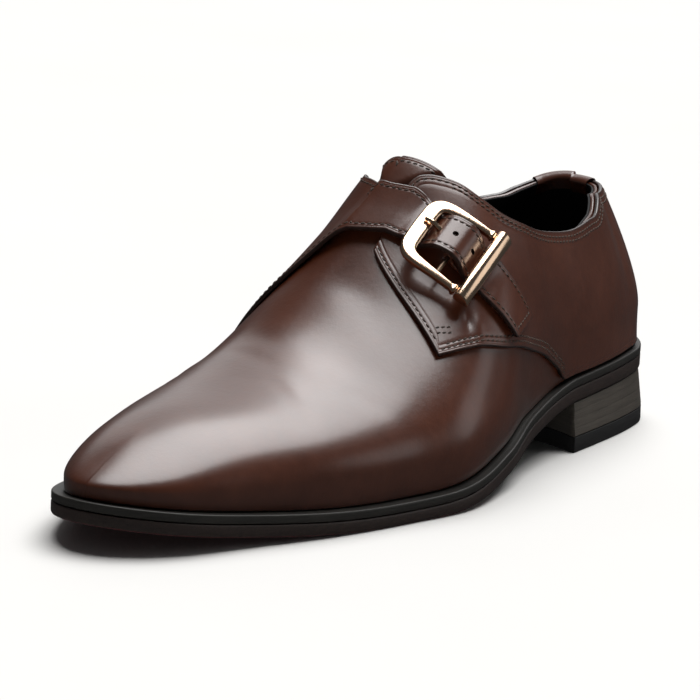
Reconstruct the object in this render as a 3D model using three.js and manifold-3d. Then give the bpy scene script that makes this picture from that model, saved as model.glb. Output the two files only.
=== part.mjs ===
// Monk strap shoe, left foot, built over one last. Millimetres, +Z up, toe to -Y, buckle side to +X.
// Along the shoe everything is placed by s, the distance from the back of the sole to the toe,
// and across it by t, positive to the outer side. On the upper a place is (s, w): w runs from
// +1 at the outer feather edge, over the ridge of the last at 0, to -1 at the inner feather edge.
import * as THREE from "three";
import Module from "manifold-3d";

// ---- driving sizes ----
const SOLE_LENGTH = 304;
const TOE_SPRING = 9.5; // the tip of the outsole stands this far off the floor
const BALL_FLAT = [197, 210]; // the tread lies on the floor between these
const BREAST_S = 80; // corners of the heel's front face
const BREAST_HOLLOW = 9; // how far that face curves back between its corners
const BREAST_HALF = 35; // those corners lie this far out
const BREAST_T = 1.5; // on both sides of this line
const BREAST_SIDES = 128;
const PIN_SIDES = 12;
const PRONG_SIDES = 8;
const SEAT_FRONT = 17.7; // underside of the outsole over the breast
const SEAT_BACK = 20.2; // and at the back of the heel
const SOLE_FORE = 7.4; // outsole and welt together, forepart
const SOLE_HEEL = 8.4; // and at the heel
const WELT = 2.9;
const LIFT_HEIGHT = 5.6; // rubber top lift
const STACK_IN = 0.5; // the heel starts this far inside the sole's edge
const LIFT_EDGE = { top: -1.4, low: -1.6 }; // and flares out past it, down to the top lift
const WALL = 2.2; // vamp leather and its lining
const OVERLAY = 1.4; // quarter leather
const GAP = 0.3; // between pieces that meet on a curve
const OVERLAY_LIFT = 0.5; // curved overlays clear the facets under them
const LASTING_GAP = 0.45; // under the upper's lower edge
const TONGUE = 1.8;
const STRAP = 1.8;
const BUCKLE_SAG = 200; // the buckle bends to the foot: drop = a * a / BUCKLE_SAG
const FRAME_HALF_HEIGHT = 1.3;
const FRAME_RUN = 64.2; // length of the rod the frame is bent from
const BAR_HALF = 16.4;
const PIN_RADIUS = 0.75;
const PIN_HALF = 15.1;
const PIN_CLEAR = 0.2; // the frame, prong and tab turn on the pin with this much room
const PIN_A = 0.5;
const PIN_H = -0.15;
const PRONG_B = 2.6;
const PRONG_EYE = 1.75;
const PRONG_EYE_HALF = 1.1;
const TAB_EYE = 2.05;
const TAB_HALF = 7;
const TAB_SLOT_HALF = 1.5; // the prong turns in this slot of the tab
const STRAP_HOLES = [-1.9, 6.1];
const STRAP_HOLE_RADIUS = 1.0;
const PRONG_ROOM = 0.35; // round the prong where it passes the strap
const THROUGH = 30; // half length of a cutter that passes right through the buckle
const INSOLE_RISE = 1.2; // the insole's top over the welt's
const AROUND = 42; // stations along each side of the upper
const UP = 12; // rows from the feather edge to the top
const ROW_CROWD = 1.15; // rows crowd towards the feather edge
const ACROSS_LEATHER = 6; // facets across a quarter or the strap

// ---- small tools ----
const add = (a, b, k = 1) => a.map((v, i) => v + k * b[i]);
const scale = (a, k) => a.map((v) => v * k);
const dot = (a, b) => a[0] * b[0] + a[1] * b[1] + a[2] * b[2];
const cross = (a, b) => [
  a[1] * b[2] - a[2] * b[1], a[2] * b[0] - a[0] * b[2], a[0] * b[1] - a[1] * b[0],
];
const unit = (a) => scale(a, 1 / Math.hypot(...a));
const mix = (a, b, f) => a + (b - a) * f;
const clamp = (v, lo, hi) => Math.min(hi, Math.max(lo, v));
const steps = (n) => Array.from({ length: n + 1 }, (_, i) => i / n);
const around = (n) => Array.from({ length: n }, (_, i) => (2 * Math.PI * i) / n);

// A smooth curve through the rows of a table that never overshoots them.
function curve(xs, ys) {
  const n = xs.length;
  const h = xs.slice(1).map((x, i) => x - xs[i]);
  const d = h.map((w, i) => (ys[i + 1] - ys[i]) / w);
  const end = (h0, h1, d0, d1) => {
    const m = ((2 * h0 + h1) * d0 - h0 * d1) / (h0 + h1);
    if (m * d0 <= 0) return 0;
    return d0 * d1 <= 0 && Math.abs(m) > 3 * Math.abs(d0) ? 3 * d0 : m;
  };
  const m = ys.map((_, i) => {
    if (n === 2) return d[0];
    if (i === 0) return end(h[0], h[1], d[0], d[1]);
    if (i === n - 1) return end(h[n - 2], h[n - 3], d[n - 2], d[n - 3]);
    if (d[i - 1] * d[i] <= 0) return 0;
    const a = 2 * h[i] + h[i - 1];
    const b = h[i] + 2 * h[i - 1];
    return (a + b) / (a / d[i - 1] + b / d[i]);
  });
  return (x) => {
    const q = clamp(x, xs[0], xs[n - 1]);
    let i = 0;
    while (i < n - 2 && q > xs[i + 1]) i += 1;
    const f = (q - xs[i]) / h[i];
    const g = 1 - f;
    return (
      ys[i] * g * g * (1 + 2 * f) + ys[i + 1] * f * f * (3 - 2 * f) +
      h[i] * (m[i] * f * g * g - m[i + 1] * g * f * f)
    );
  };
}
// A table with named columns becomes one curve for each column after the first.
function table(columns, rows) {
  const xs = rows.map((r) => r[0]);
  return Object.fromEntries(
    columns.slice(1).map((name, i) => [name, curve(xs, rows.map((r) => r[i + 1]))]),
  );
}
const arc = (a, b, c, d, f) => {
  const g = 1 - f;
  return g * g * g * a + 3 * g * g * f * b + 3 * g * f * f * c + f * f * f * d;
};

// ---- the bottom of the shoe ----
// Half widths are kept squared, so both ends of the outline close round.
const OUTLINE = table(
  ["s", "middle", "outer2", "inner2"],
  [
    [0, 0, 0, 0], [9, 0.6, 26.5, 23.5], [27, 1.7, 34.5, 34], [52, 2.7, 36.3, 36],
    [82, 3.4, 36.6, 32.2], [115, 3.3, 40, 31.3], [146, 2.4, 48.2, 41], [176, 0.9, 52.7, 51.9],
    [200, -0.8, 48.8, 53.7], [231, -3.6, 42.2, 48.3], [261, -7.1, 32.6, 38.8],
    [286, -10.4, 24.2, 25.9], [304, -13.2, 0, 0],
  ].map(([s, middle, outer, inner]) => [s, middle, outer * outer, inner * inner]),
);
const WELT_STANDS_OUT = table(
  ["s", "by"], [[0, 3.6], [60, 3.0], [100, 3.0], [150, 3.8], [200, 4.2], [304, 4.0]],
).by;

// Stations crowd at the heel, the throat and the toe.
const spread = (f) => f - (0.35 * Math.sin(4 * Math.PI * f)) / (4 * Math.PI);
const sAt = (u) => (SOLE_LENGTH / 2) * (1 - Math.cos(Math.PI * u));
const uAt = (s) => Math.acos(clamp(1 - (2 * s) / SOLE_LENGTH, -1, 1)) / Math.PI;

function rim(u, side) {
  const s = sAt(u);
  const w2 = side > 0 ? OUTLINE.outer2(s) : OUTLINE.inner2(s);
  return [s, OUTLINE.middle(s) + side * Math.sqrt(Math.max(w2, 0))];
}
function inset(u, side, by) {
  const p = rim(u, side);
  if (u < 1e-6) return [p[0] + by, p[1]];
  if (u > 1 - 1e-6) return [p[0] - by, p[1]];
  const a = rim(clamp(u - 1e-4, 0, 1), side);
  const b = rim(clamp(u + 1e-4, 0, 1), side);
  const d = [b[0] - a[0], b[1] - a[1]];
  const k = (by * side) / Math.hypot(...d);
  return [p[0] + d[1] * k, p[1] - d[0] * k];
}
const feather = (u, side, more = 0) => inset(u, side, WELT_STANDS_OUT(sAt(u)) + more);

function treadZ(s) {
  const [back, front] = BALL_FLAT;
  if (s > front) return TOE_SPRING * ((s - front) / (SOLE_LENGTH - front)) ** 1.8;
  if (s > back) return 0;
  if (s < BREAST_S) return mix(SEAT_FRONT, SEAT_BACK, (BREAST_S - s) / BREAST_S);
  const f = (back - s) / (back - BREAST_S);
  return SEAT_FRONT * (f * f * (3 - 2 * f) * 0.62 + f * f * 0.38);
}
const seatZ = (s) => treadZ(s) + mix(SOLE_HEEL, SOLE_FORE, clamp((s - 100) / 100, 0, 1));

// ---- the last ----
// One row per section. ridge: height of its ridge; ridge_t: where that lies across;
// bulge and hip: how far and how high the wall swells over the feather edge, outer and inner;
// wall and roof: how long the wall stays upright and how far the top stays broad.
// Behind the throat the ridge is only the point the walls lean to: the topline cuts them first.
const LAST = table(
  ["s", "ridge", "ridge_t", "outer_bulge", "inner_bulge", "outer_hip", "inner_hip", "wall", "roof"],
  [
    [0, 118, 1.0, -0.6, 0.4, 14, 17, 0.40, 0.26], [30, 105, 1.4, -0.6, 0.8, 14, 17, 0.23, 0.25],
    [42, 108.8, 1.4, -0.25, 1.1, 14, 17, 0.285, 0.385],
    [60, 114.5, 1.5, 0.3, 1.5, 14, 17, 0.39, 0.34], [90, 116, 0, 0.5, 2.5, 15, 18, 0.45, 0.34],
    [110, 117, -2, 1, 3.5, 15, 18, 0.5, 0.4], [130, 108, -5, 2, 4, 14, 18, 0.5, 0.42],
    [150, 87.5, -7, 3, 4, 13, 15, 0.5, 0.46], [175, 65.3, -9.5, 2.5, 3, 12, 12, 0.48, 0.5],
    [200, 49.3, -10.2, 1.5, 1.8, 11, 11, 0.47, 0.55], [230, 41.5, -11, 1.2, 1.2, 10, 10, 0.52, 0.56],
    [260, 37.2, -12, 1.1, 0.2, 7, 7, 0.56, 0.52], [304, 22, -13, 1.0, 0.6, 4, 4, 0.62, 0.45],
  ],
);
const HEEL_EASE = { from: 62, by: 32.3 }; // the ridge starts this far in from the back
const TOE_EASE = { from: 232, by: 27 }; // and ends this far short of the tip
const LOW = 0.18; // share of each side that lies under its hip

function ridgeS(s) {
  const back = Math.max(HEEL_EASE.from - s, 0) / HEEL_EASE.from;
  const front = Math.max(s - TOE_EASE.from, 0) / (SOLE_LENGTH - TOE_EASE.from);
  return s + HEEL_EASE.by * back * back - TOE_EASE.by * front * front;
}
// Point of the last for the outline place u and the height share v, 0 feather edge, 1 ridge.
function lastPoint(u, v, side) {
  const foot = feather(u, side);
  const s = foot[0];
  const base = seatZ(s) + LASTING_GAP;
  const c = ridgeS(s);
  const ct = LAST.ridge_t(c);
  const reach = Math.hypot(s - c, foot[1] - ct);
  const dir = [(s - c) / reach, (foot[1] - ct) / reach];
  const bulge = side > 0 ? LAST.outer_bulge(s) : LAST.inner_bulge(s);
  const hip = side > 0 ? LAST.outer_hip(s) : LAST.inner_hip(s);
  const wide = reach + bulge;
  const hipZ = base + hip;
  let out;
  let z;
  if (v < LOW) {
    const f = v / LOW;
    out = arc(reach, reach + 0.6 * bulge, wide, wide, f);
    z = arc(base, base + 0.12 * hip, base + 0.5 * hip, hipZ, f);
  } else {
    const f = (v - LOW) / (1 - LOW);
    const slope = LAST.ridge(c + 0.5) - LAST.ridge(c - 0.5);
    const rise = arc(0, LAST.wall(s), 1, 1, f);
    out = arc(wide, wide, LAST.roof(s) * wide, 0, f);
    z = hipZ + (LAST.ridge(c) - hipZ + slope * dir[0] * out) * rise;
  }
  return [c + dir[0] * out, ct + dir[1] * out, z];
}
const onLast = (u, w) => lastPoint(clamp(u, 0, 1), 1 - Math.abs(clamp(w, -1, 1)), w >= 0 ? 1 : -1);

function lastNormal(u, w) {
  const at = (uu, ww) => {
    const q = clamp(uu, 0.0006, 0.9994);
    const du = add(onLast(q + 3e-4, ww), onLast(q - 3e-4, ww), -1);
    const dw = add(onLast(q, ww + 1e-3), onLast(q, ww - 1e-3), -1);
    return unit(cross(du, dw));
  };
  if (u > 1e-6 && u < 1 - 1e-6) return at(u, w);
  return unit(add(at(u, w), at(u, -w)));
}
// The upper's own surface, raised by lift along its normal; (s, t, z).
function skin(s, w, lift = 0) {
  const u = uAt(s);
  return lift ? add(onLast(u, w), lastNormal(u, w), lift) : onLast(u, w);
}

// ---- the topline ----
const TOPLINE = {
  outer: table(["s", "w"], [
    [0, 0.36], [12, 0.355], [35, 0.378], [53, 0.483], [66, 0.524], [80, 0.53], [90, 0.522],
    [100, 0.51], [111, 0.48], [120, 0.42], [127, 0.34], [134, 0.26], [140, 0.17], [146, 0.07], [148, 0],
  ]).w,
  inner: table(["s", "w"], [
    [0, 0.36], [8, 0.372], [20, 0.398], [42, 0.47], [66, 0.54], [90, 0.522], [102, 0.505],
    [112, 0.475], [120, 0.42], [127, 0.34], [134, 0.26], [140, 0.17], [146, 0.07], [148, 0],
  ]).w,
};
const THROAT_S = 148;

// ---- solids ----
// A closed body from shared corners; it turns itself to face out.
class Body {
  constructor() {
    this.points = [];
    this.faces = [];
  }
  point(p) {
    return this.points.push(p) - 1;
  }
  face(...ring) {
    for (let i = 1; i + 1 < ring.length; i += 1) {
      const f = [ring[0], ring[i], ring[i + 1]];
      if (new Set(f).size === 3) this.faces.push(f);
    }
  }
  strip(a, b) {
    for (let i = 0; i + 1 < a.length; i += 1) this.face(a[i], a[i + 1], b[i + 1], b[i]);
  }
  volume() {
    const p = this.points;
    return this.faces.reduce((v, [a, b, c]) => v + dot(p[a], cross(p[b], p[c])), 0) / 6;
  }
}
// (s, t, z) to the part's own axes, before it is centred.
const placed = ([s, t, z]) => [t, SOLE_LENGTH / 2 - s, z];

const wasm = await Module();
wasm.setup();

function solid(body) {
  const points = body.points.map(placed);
  const out = Object.assign(new Body(), { points, faces: body.faces });
  const faces = out.volume() < 0 ? body.faces.map(([a, b, c]) => [a, c, b]) : body.faces;
  return new wasm.Manifold(
    new wasm.Mesh({
      numProp: 3,
      vertProperties: new Float32Array(points.flat()),
      triVerts: new Uint32Array(faces.flat()),
    }),
  );
}
// Two faces of rows and columns, far[i][j] over near[i][j], closed round their rim.
function slab(rows, columns, at) {
  const body = new Body();
  const grid = [0, 1].map((layer) =>
    rows.map((f) => columns.map((g) => body.point(at(f, g, layer)))),
  );
  const last = rows.length - 1;
  const end = columns.length - 1;
  for (let i = 0; i < last; i += 1) {
    body.strip(grid[0][i], grid[0][i + 1]);
    body.strip(grid[1][i + 1], grid[1][i]);
    body.face(grid[0][i][0], grid[0][i + 1][0], grid[1][i + 1][0], grid[1][i][0]);
    body.face(grid[1][i][end], grid[1][i + 1][end], grid[0][i + 1][end], grid[0][i][end]);
  }
  body.strip(grid[1][0], grid[0][0]);
  body.strip(grid[0][last], grid[1][last]);
  return body;
}
// A plate between two outlines; each outline is made of matching outer and inner points.
function plate(us, outlineTop, outlineLow, topZ, lowZ) {
  const body = new Body();
  const ring = (outline, zAt) =>
    us.map((u) => {
      const pair = [1, -1].map((side) => outline(u, side));
      const ids = pair.map((p) => body.point([...p, zAt(p[0])]));
      if (Math.hypot(pair[0][0] - pair[1][0], pair[0][1] - pair[1][1]) < 1e-6) ids[1] = ids[0];
      return ids;
    });
  const top = ring(outlineTop, topZ);
  const low = ring(outlineLow, lowZ);
  for (let i = 0; i + 1 < us.length; i += 1) {
    const [a, b] = [i, i + 1];
    body.face(top[a][0], top[b][0], top[b][1], top[a][1]);
    body.face(low[a][1], low[b][1], low[b][0], low[a][0]);
    body.face(low[a][0], low[b][0], top[b][0], top[a][0]);
    body.face(top[a][1], top[b][1], low[b][1], low[a][1]);
  }
  const z = us.length - 1;
  if (top[0][0] !== top[0][1]) body.face(top[0][0], top[0][1], low[0][1], low[0][0]);
  if (top[z][0] !== top[z][1]) body.face(top[z][1], top[z][0], low[z][0], low[z][1]);
  return body;
}
// A tube of given sections; each section is a ring of points.
function tube(sections, closed = false) {
  const body = new Body();
  const rings = sections.map((ring) => ring.map((p) => body.point(p)));
  const n = rings.length;
  for (let i = 0; i < (closed ? n : n - 1); i += 1) {
    const [a, b] = [rings[i], rings[(i + 1) % n]];
    body.strip([...a, a[0]], [...b, b[0]]);
  }
  if (!closed) {
    body.face(...rings[0].slice().reverse());
    body.face(...rings[n - 1]);
  }
  return body;
}

// ---- upper: vamp, quarters and heel in one hollow shell, open under the foot and at the collar ----
function upper() {
  const body = new Body();
  const column = (u, side, lift, ridge) => {
    const s = sAt(u);
    const top = s < THROAT_S ? (side > 0 ? TOPLINE.outer(s) : TOPLINE.inner(s)) : 0;
    return steps(UP).map((f, j) => {
      if (j === UP && ridge !== undefined) return ridge;
      const p = skin(s, side * mix(1, top, f ** ROW_CROWD), lift);
      if (j === 0) p[2] = seatZ(p[0]) + LASTING_GAP; // the lasting edge is cut flat over the welt
      return body.point(p);
    });
  };
  const us = steps(AROUND).map(spread);
  const layer = (lift) => {
    const outer = us.map((u) => column(u, 1, lift));
    const inner = us.map((u, i) =>
      i === 0 || i === AROUND
        ? outer[i]
        : column(u, -1, lift, sAt(u) >= THROAT_S ? outer[i][UP] : undefined),
    );
    return [...outer, ...inner.slice(1, -1).reverse()];
  };
  const face = layer(0);
  const lining = layer(-WALL);
  const n = face.length;
  const open = (i) => sAt(us[i <= AROUND ? i : n - i]) < THROAT_S;
  for (let i = 0; i < n; i += 1) {
    const k = (i + 1) % n;
    body.strip(face[i], face[k]);
    body.strip(lining[k], lining[i]);
    body.face(face[i][0], face[k][0], lining[k][0], lining[i][0]);
    if (open(i) || open(k)) body.face(face[k][UP], face[i][UP], lining[i][UP], lining[k][UP]);
  }
  return body;
}

// ---- quarters: the overlays that stand proud of the vamp ----
// Each row is one rib of the overlay, from its top edge (ts, tw) to its lower or front edge (bs, bw).
const OUTER_QUARTER = [
  [0, 0.0005, 0.36, 0.0005, 0.98], [1, 12, 0.355, 12, 0.98], [2, 35, 0.38, 32, 0.98],
  [3, 55, 0.491, 52, 0.98], [4, 78, 0.528, 72, 0.975], [5, 92, 0.519, 86, 0.965],
  [6, 102, 0.507, 94, 0.89], [7, 112, 0.475, 105, 0.82], [8, 120, 0.42, 122, 0.75],
  [9, 126, 0.335, 144, 0.645], [10, 129.5, 0.26, 160, 0.54], [11, 132.3, 0.2, 171, 0.477],
  [12, 134.5, 0.15, 175, 0.455], [13, 136.7, 0.115, 173, 0.39], [14, 139.3, 0.098, 167, 0.22],
  [15, 142, 0.092, 160, 0.1],
];
const INNER_QUARTER = [
  [0, 0.0005, -0.36, 0.0005, -0.98], [1, 10, -0.376, 12, -0.98], [2, 22, -0.403, 32, -0.98],
  [3, 42, -0.472, 52, -0.975], [4, 66, -0.54, 72, -0.965], [5, 88, -0.523, 86, -0.955],
  [6, 102, -0.505, 94, -0.89], [7, 112, -0.475, 105, -0.82], [8, 120, -0.42, 122, -0.75],
  [9, 126, -0.345, 144, -0.66], [10, 129.5, -0.29, 156, -0.61], [11, 132, -0.25, 166, -0.57],
  [12, 134, -0.215, 170.5, -0.54], [13, 136, -0.18, 168.5, -0.41], [14, 138.3, -0.12, 165.5, -0.29],
  [15, 140.2, -0.05, 161.5, -0.185], [16, 141.2, 0.0, 158.5, -0.11], [17, 141.4, 0.05, 155.5, -0.02],
];
// Three or more stations to a rib round the heel, two elsewhere.
const HEEL_STATIONS = [0, 0.2, 0.4, 0.6, 0.8, 1, 1.25, 1.5, 1.75, 2, 2.33, 2.67, 3, 3.33, 3.67];
const ribStations = (count) => [
  ...HEEL_STATIONS,
  ...steps(2 * (count - 4)).map((f) => 4 + f * (count - 4)),
];
const ribPoint = (ribs, r, f, lift) =>
  skin(sAt(mix(ribs.tu(r), ribs.bu(r), f)), mix(ribs.tw(r), ribs.bw(r), f), lift);
const ribTable = (rows) =>
  table(
    ["rib", "tu", "tw", "bu", "bw"],
    rows.map(([rib, ts, tw, bs, bw]) => [rib, uAt(ts), tw, uAt(bs), bw]),
  );

const outerRibs = ribTable(OUTER_QUARTER);
const innerRibs = ribTable(INNER_QUARTER);
const outerQuarter = () =>
  slab(ribStations(15), steps(ACROSS_LEATHER), (r, g, layer) =>
    ribPoint(outerRibs, r, g, OVERLAY_LIFT + layer * OVERLAY),
  );

// ---- the buckle's own axes: a along the strap, b across it, h up from the buckle's plane ----
const BUCKLE = { s: 151.74, t: 27.28, z: 80.74 };
const ALONG = unit([-0.311, 0.7984, -0.5155]);
const UPWARD = unit(add([0.4278, 0.602, 0.6743], ALONG, -dot([0.4278, 0.602, 0.6743], ALONG)));
const ACROSS = cross(UPWARD, ALONG);
const atBuckle = (a, b, h) =>
  [BUCKLE.s, BUCKLE.t, BUCKLE.z].map((v, i) => v + a * ALONG[i] + b * ACROSS[i] + h * UPWARD[i]);
const sag = (a) => (-a * a) / BUCKLE_SAG;

// Height of the upper's surface under a place of the buckle's plane, by a few Newton steps.
function skinUnder(a, b) {
  const goal = atBuckle(a, b, 0);
  let x = [148.4 - 0.2 * a - 0.8 * b, 0.32 + 0.01 * a];
  let h = -5;
  for (let i = 0; i < 12; i += 1) {
    const p = skin(x[0], x[1]);
    const miss = add(p, goal, -1);
    const ds = scale(add(skin(x[0] + 0.05, x[1]), p, -1), 20);
    const dw = scale(add(skin(x[0], x[1] + 0.001), p, -1), 1000);
    const det = dot(ds, cross(dw, UPWARD));
    const ks = -dot(miss, cross(dw, UPWARD)) / det;
    const kw = dot(miss, cross(ds, UPWARD)) / det;
    x = [x[0] + clamp(ks, -8, 8), clamp(x[1] + clamp(kw, -0.08, 0.08), -0.3, 0.9)];
    h = dot(miss, UPWARD);
  }
  return h;
}

// ---- strap: it leaves the inner quarter, dips under the frame, bows over the pin, and dips
// under the end bar. One row per fold. free is the share of the height taken from h; the rest
// lies on the upper at lift. middle and half place its two edges.
const STRAP_FOLDS = table(
  ["a", "middle", "half", "free", "h", "tilt", "lift"],
  [
    [-22, 5.9, 9.4, 0, -7, 0.1, 4.4], [-18.5, 5.4, 9.3, 0.2, -5.6, 0.1, 4.1],
    [-15, 4.6, 8.9, 1, -4.4, 0.09, 3.5], [-12.5, 3.7, 8.4, 1, -3.8, 0.07, 3.5],
    [-10.3, 3.0, 8.1, 1, -3.2, 0.04, 3.5], [-9, 2.7, 7.9, 1, -2.9, 0.02, 3.5],
    [-7.6, 2.6, 7.9, 1, -0.9, 0, 3.5], [-5, 2.5, 7.9, 1, 1.7, 0, 3.5],
    [-2.3, 2.4, 7.9, 1, 2.8, 0, 3.5], [0.5, 2.4, 7.9, 1, 3.1, 0, 3.5],
    [3, 2.3, 7.9, 1, 2.5, 0, 3.5], [5.5, 2.2, 7.9, 1, 0.5, 0, 3.5],
    [8, 2.2, 8.0, 1, -2.3, 0, 3.5], [10, 2.1, 8.1, 1, -3.15, 0, 3.5],
    [12, 2.1, 8.2, 1, -3.3, -0.02, 3.5], [14.5, 2.0, 8.3, 0.8, -3.7, -0.05, 3.3],
    [17.5, 2.0, 8.4, 0.3, -4.9, -0.08, 3.4], [21, 1.9, 8.5, 0, -6, -0.1, 3.7],
    [26, 1.8, 8.5, 0, -6, -0.1, 4.1], [30, 1.7, 8.6, 0, -6, -0.1, 4.4],
    [34.6, 1.6, 8.6, 0, -6, -0.1, 4.9],
  ],
);
function strapLevel(a, b) {
  const free = STRAP_FOLDS.free(a);
  const resting = free < 1 ? skinUnder(a, b) + STRAP_FOLDS.lift(a) : 0;
  const held = STRAP_FOLDS.h(a) + STRAP_FOLDS.tilt(a) * (b - STRAP_FOLDS.middle(a));
  return mix(resting, held, free);
}
function strapPoint(a, g, layer) {
  const b = STRAP_FOLDS.middle(a) + mix(1, -1, g) * STRAP_FOLDS.half(a);
  const slope = (strapLevel(a + 0.1, b) - strapLevel(a - 0.1, b)) / 0.2;
  const k = ((layer - 0.5) * STRAP) / Math.hypot(1, slope);
  return atBuckle(a - slope * k, b, strapLevel(a, b) + k);
}
const STRAP_STATIONS = [
  -22, -19.5, -17, -14.5, -12, -10.3, -9, -7.8, -6.4, -5, -3.3, -1.6, 0.4, 2.3, 3.8, 5.2, 6.5,
  7.8, 9.2, 11, 13.5, 16, 19, 22.5, 26.5, 30.5, 34.6,
];

// The quarter and its strap are one piece: the strap's stations follow the last rib, and the last
// ribs climb on to the outer quarter.
const LAST_RIB = 17;
const CLIMB = { from: 13.5, over: 3, to: 2.6 };
function innerQuarter() {
  const ribRows = ribStations(LAST_RIB).map((rib) => ({ rib }));
  const strapRows = STRAP_STATIONS.map((a) => ({ a }));
  return slab([...ribRows, ...strapRows], steps(ACROSS_LEATHER), (row, g, layer) => {
    if (row.a !== undefined) return strapPoint(row.a, g, layer);
    const climbed = clamp((row.rib - CLIMB.from) / CLIMB.over, 0, 1) ** 2;
    const near = mix(OVERLAY_LIFT, CLIMB.to, climbed);
    return ribPoint(innerRibs, row.rib, g, near + layer * mix(OVERLAY, STRAP, climbed));
  });
}

// ---- tongue: under the vamp at its root, flush with it above the throat ----
const TONGUE_EDGE = table(["w", "top", "root"], [
  [0, 131.5, 172], [0.16, 130, 171], [0.25, 128.5, 168], [0.34, 125.5, 164],
]);
const TONGUE_REACH = 0.34; // how far it goes to each side, as a w
const TONGUE_TAPER = 0.72; // and how much of that is left at its root
const TONGUE_RISE = { from: 0.06, over: 0.07, by: 0.75 }; // it rises where the throat leaves it free
function tongue() {
  return slab(steps(11), steps(10), (f, g, layer) => {
    const w = mix(-TONGUE_REACH, TONGUE_REACH, g) * mix(1, TONGUE_TAPER, f);
    const s = mix(TONGUE_EDGE.top(Math.abs(w)), TONGUE_EDGE.root(Math.abs(w)), f);
    const edge = s < THROAT_S ? (w > 0 ? TOPLINE.outer(s) : TOPLINE.inner(s)) : 0;
    const clear = clamp((edge - Math.abs(w) - TONGUE_RISE.from) / TONGUE_RISE.over, 0, 1) ** 1.5;
    const far = -(WALL + 2 * OVERLAY_LIFT) * (1 - TONGUE_RISE.by * clear);
    return skin(s, w, far - (1 - layer) * TONGUE);
  });
}

// ---- sole ----
// Stations along the sole; the ones nearest a corner of its profile are moved on to it.
const SOLE_STATIONS = 44;
const NEAR_CORNER = 5.5;
const SOLE_US = steps(SOLE_STATIONS).map((f) => {
  const s = sAt(f);
  const near = [...BALL_FLAT, BREAST_S].find((q) => Math.abs(q - s) < NEAR_CORNER);
  return near === undefined ? f : uAt(near);
});
const WELT_TO_INSOLE = 0.4;
const welt = () => {
  const outer = SOLE_US.map((u) => [u, 1]);
  const inner = SOLE_US.slice(1, -1).reverse().map((u) => [u, -1]);
  return tube(
    [...outer, ...inner].map(([u, side]) => {
      const edge = rim(u, side);
      const under = feather(u, side, WALL + WELT_TO_INSOLE);
      return [
        [...edge, seatZ(edge[0])], [...edge, seatZ(edge[0]) - WELT],
        [...under, seatZ(under[0]) - WELT], [...under, seatZ(under[0])],
      ];
    }),
    true,
  );
};
const outsole = () =>
  plate(SOLE_US, rim, rim, (s) => seatZ(s) - WELT - GAP, treadZ);
const insole = () => {
  const outline = (u, side) => feather(u, side, WALL + 2 * WELT_TO_INSOLE);
  return plate(SOLE_US, outline, outline, (s) => seatZ(s) + INSOLE_RISE, (s) => seatZ(s) - WELT);
};
const HEEL_US = steps(20).map((f) => f * uAt(BREAST_S + 2));
// What the heel's hollow front leaves away: a round column that stands in front of it.
const breast = () => {
  const r = (BREAST_HALF ** 2 + BREAST_HOLLOW ** 2) / (2 * BREAST_HOLLOW);
  const ring = (z) =>
    around(BREAST_SIDES).map((turn) => {
      const s = BREAST_S - BREAST_HOLLOW + r - r * Math.cos(turn);
      return [s, BREAST_T + r * Math.sin(turn), z];
    });
  return solid(tube([ring(-LIFT_HEIGHT), ring(2 * SEAT_BACK)]));
};
const heelBlock = (insetTop, insetLow, topZ, lowZ) =>
  solid(
    plate(
      HEEL_US, (u, side) => inset(u, side, insetTop), (u, side) => inset(u, side, insetLow), topZ, lowZ,
    ),
  ).subtract(breast());

// ---- buckle ----
// The frame is one bent rod: broad at the closed end, fine where it enters the end bar.
const FRAME_PATH = table(["l", "a", "b", "half"], [
  [0, 9.1, 14.0, 1.25], [8, 1.2, 13.75, 1.5], [14.5, -5.3, 13.4, 1.95], [17.5, -8.3, 12.95, 2.2],
  [20, -10.7, 11.9, 2.3], [22, -12.0, 10.2, 2.4], [24.5, -12.5, 7.6, 2.55], [32.1, -12.7, 0, 2.55],
]);
const FRAME_STATIONS = 30;
const ROD_SIDES = 10;
const BOXY = 0.8; // under 1 the rod's section is squarer than an ellipse
function buckleFrame() {
  const half = FRAME_RUN / 2;
  const rings = steps(FRAME_STATIONS).map((f) => {
    const l = FRAME_RUN * f;
    const near = Math.min(l, FRAME_RUN - l);
    const flip = l > half ? -1 : 1;
    const at = (q) => [FRAME_PATH.a(q), flip * FRAME_PATH.b(q)];
    const p = at(near);
    const lo = at(Math.max(near - 0.3, 0));
    const hi = at(Math.min(near + 0.3, half));
    const d = [hi[0] - lo[0], hi[1] - lo[1]].map((v) => v * flip);
    const k = Math.hypot(...d);
    const out = half - near < 0.2 ? [-1, 0] : [-d[1] / k, d[0] / k];
    return around(ROD_SIDES).map((turn) => {
      const x = Math.sign(Math.cos(turn)) * Math.abs(Math.cos(turn)) ** BOXY * FRAME_PATH.half(near);
      const h = Math.sin(turn) * FRAME_HALF_HEIGHT;
      const a = p[0] + out[0] * x;
      return atBuckle(a, p[1] + out[1] * x, h + sag(a));
    });
  });
  return tube(rings);
}
// One length of the prong between two places (a, h) and radii.
const rod = ([a0, h0, r0], [a1, h1, r1], more) => {
  const d = [a1 - a0, h1 - h0];
  const k = Math.hypot(...d);
  return solid(
    tube(
      [[a0, h0, r0 + more], [a1, h1, r1 + more]].map(([a, h, r]) =>
        around(PRONG_SIDES).map((turn) => {
          const x = r * Math.cos(turn);
          return atBuckle(a - (d[1] / k) * x, PRONG_B + r * Math.sin(turn), h + (d[0] / k) * x);
        }),
      ),
    ),
  );
};
// A section drawn in (a, h) and run across the strap from b0 to b1.
const across = (b0, b1, shape) =>
  solid(tube([b0, b1].map((b) => shape.map(([a, h]) => atBuckle(a, b, h)))));
const round = (a, h, r) =>
  around(PIN_SIDES).map((turn) => [a + r * Math.cos(turn), h + r * Math.sin(turn)]);
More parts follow.
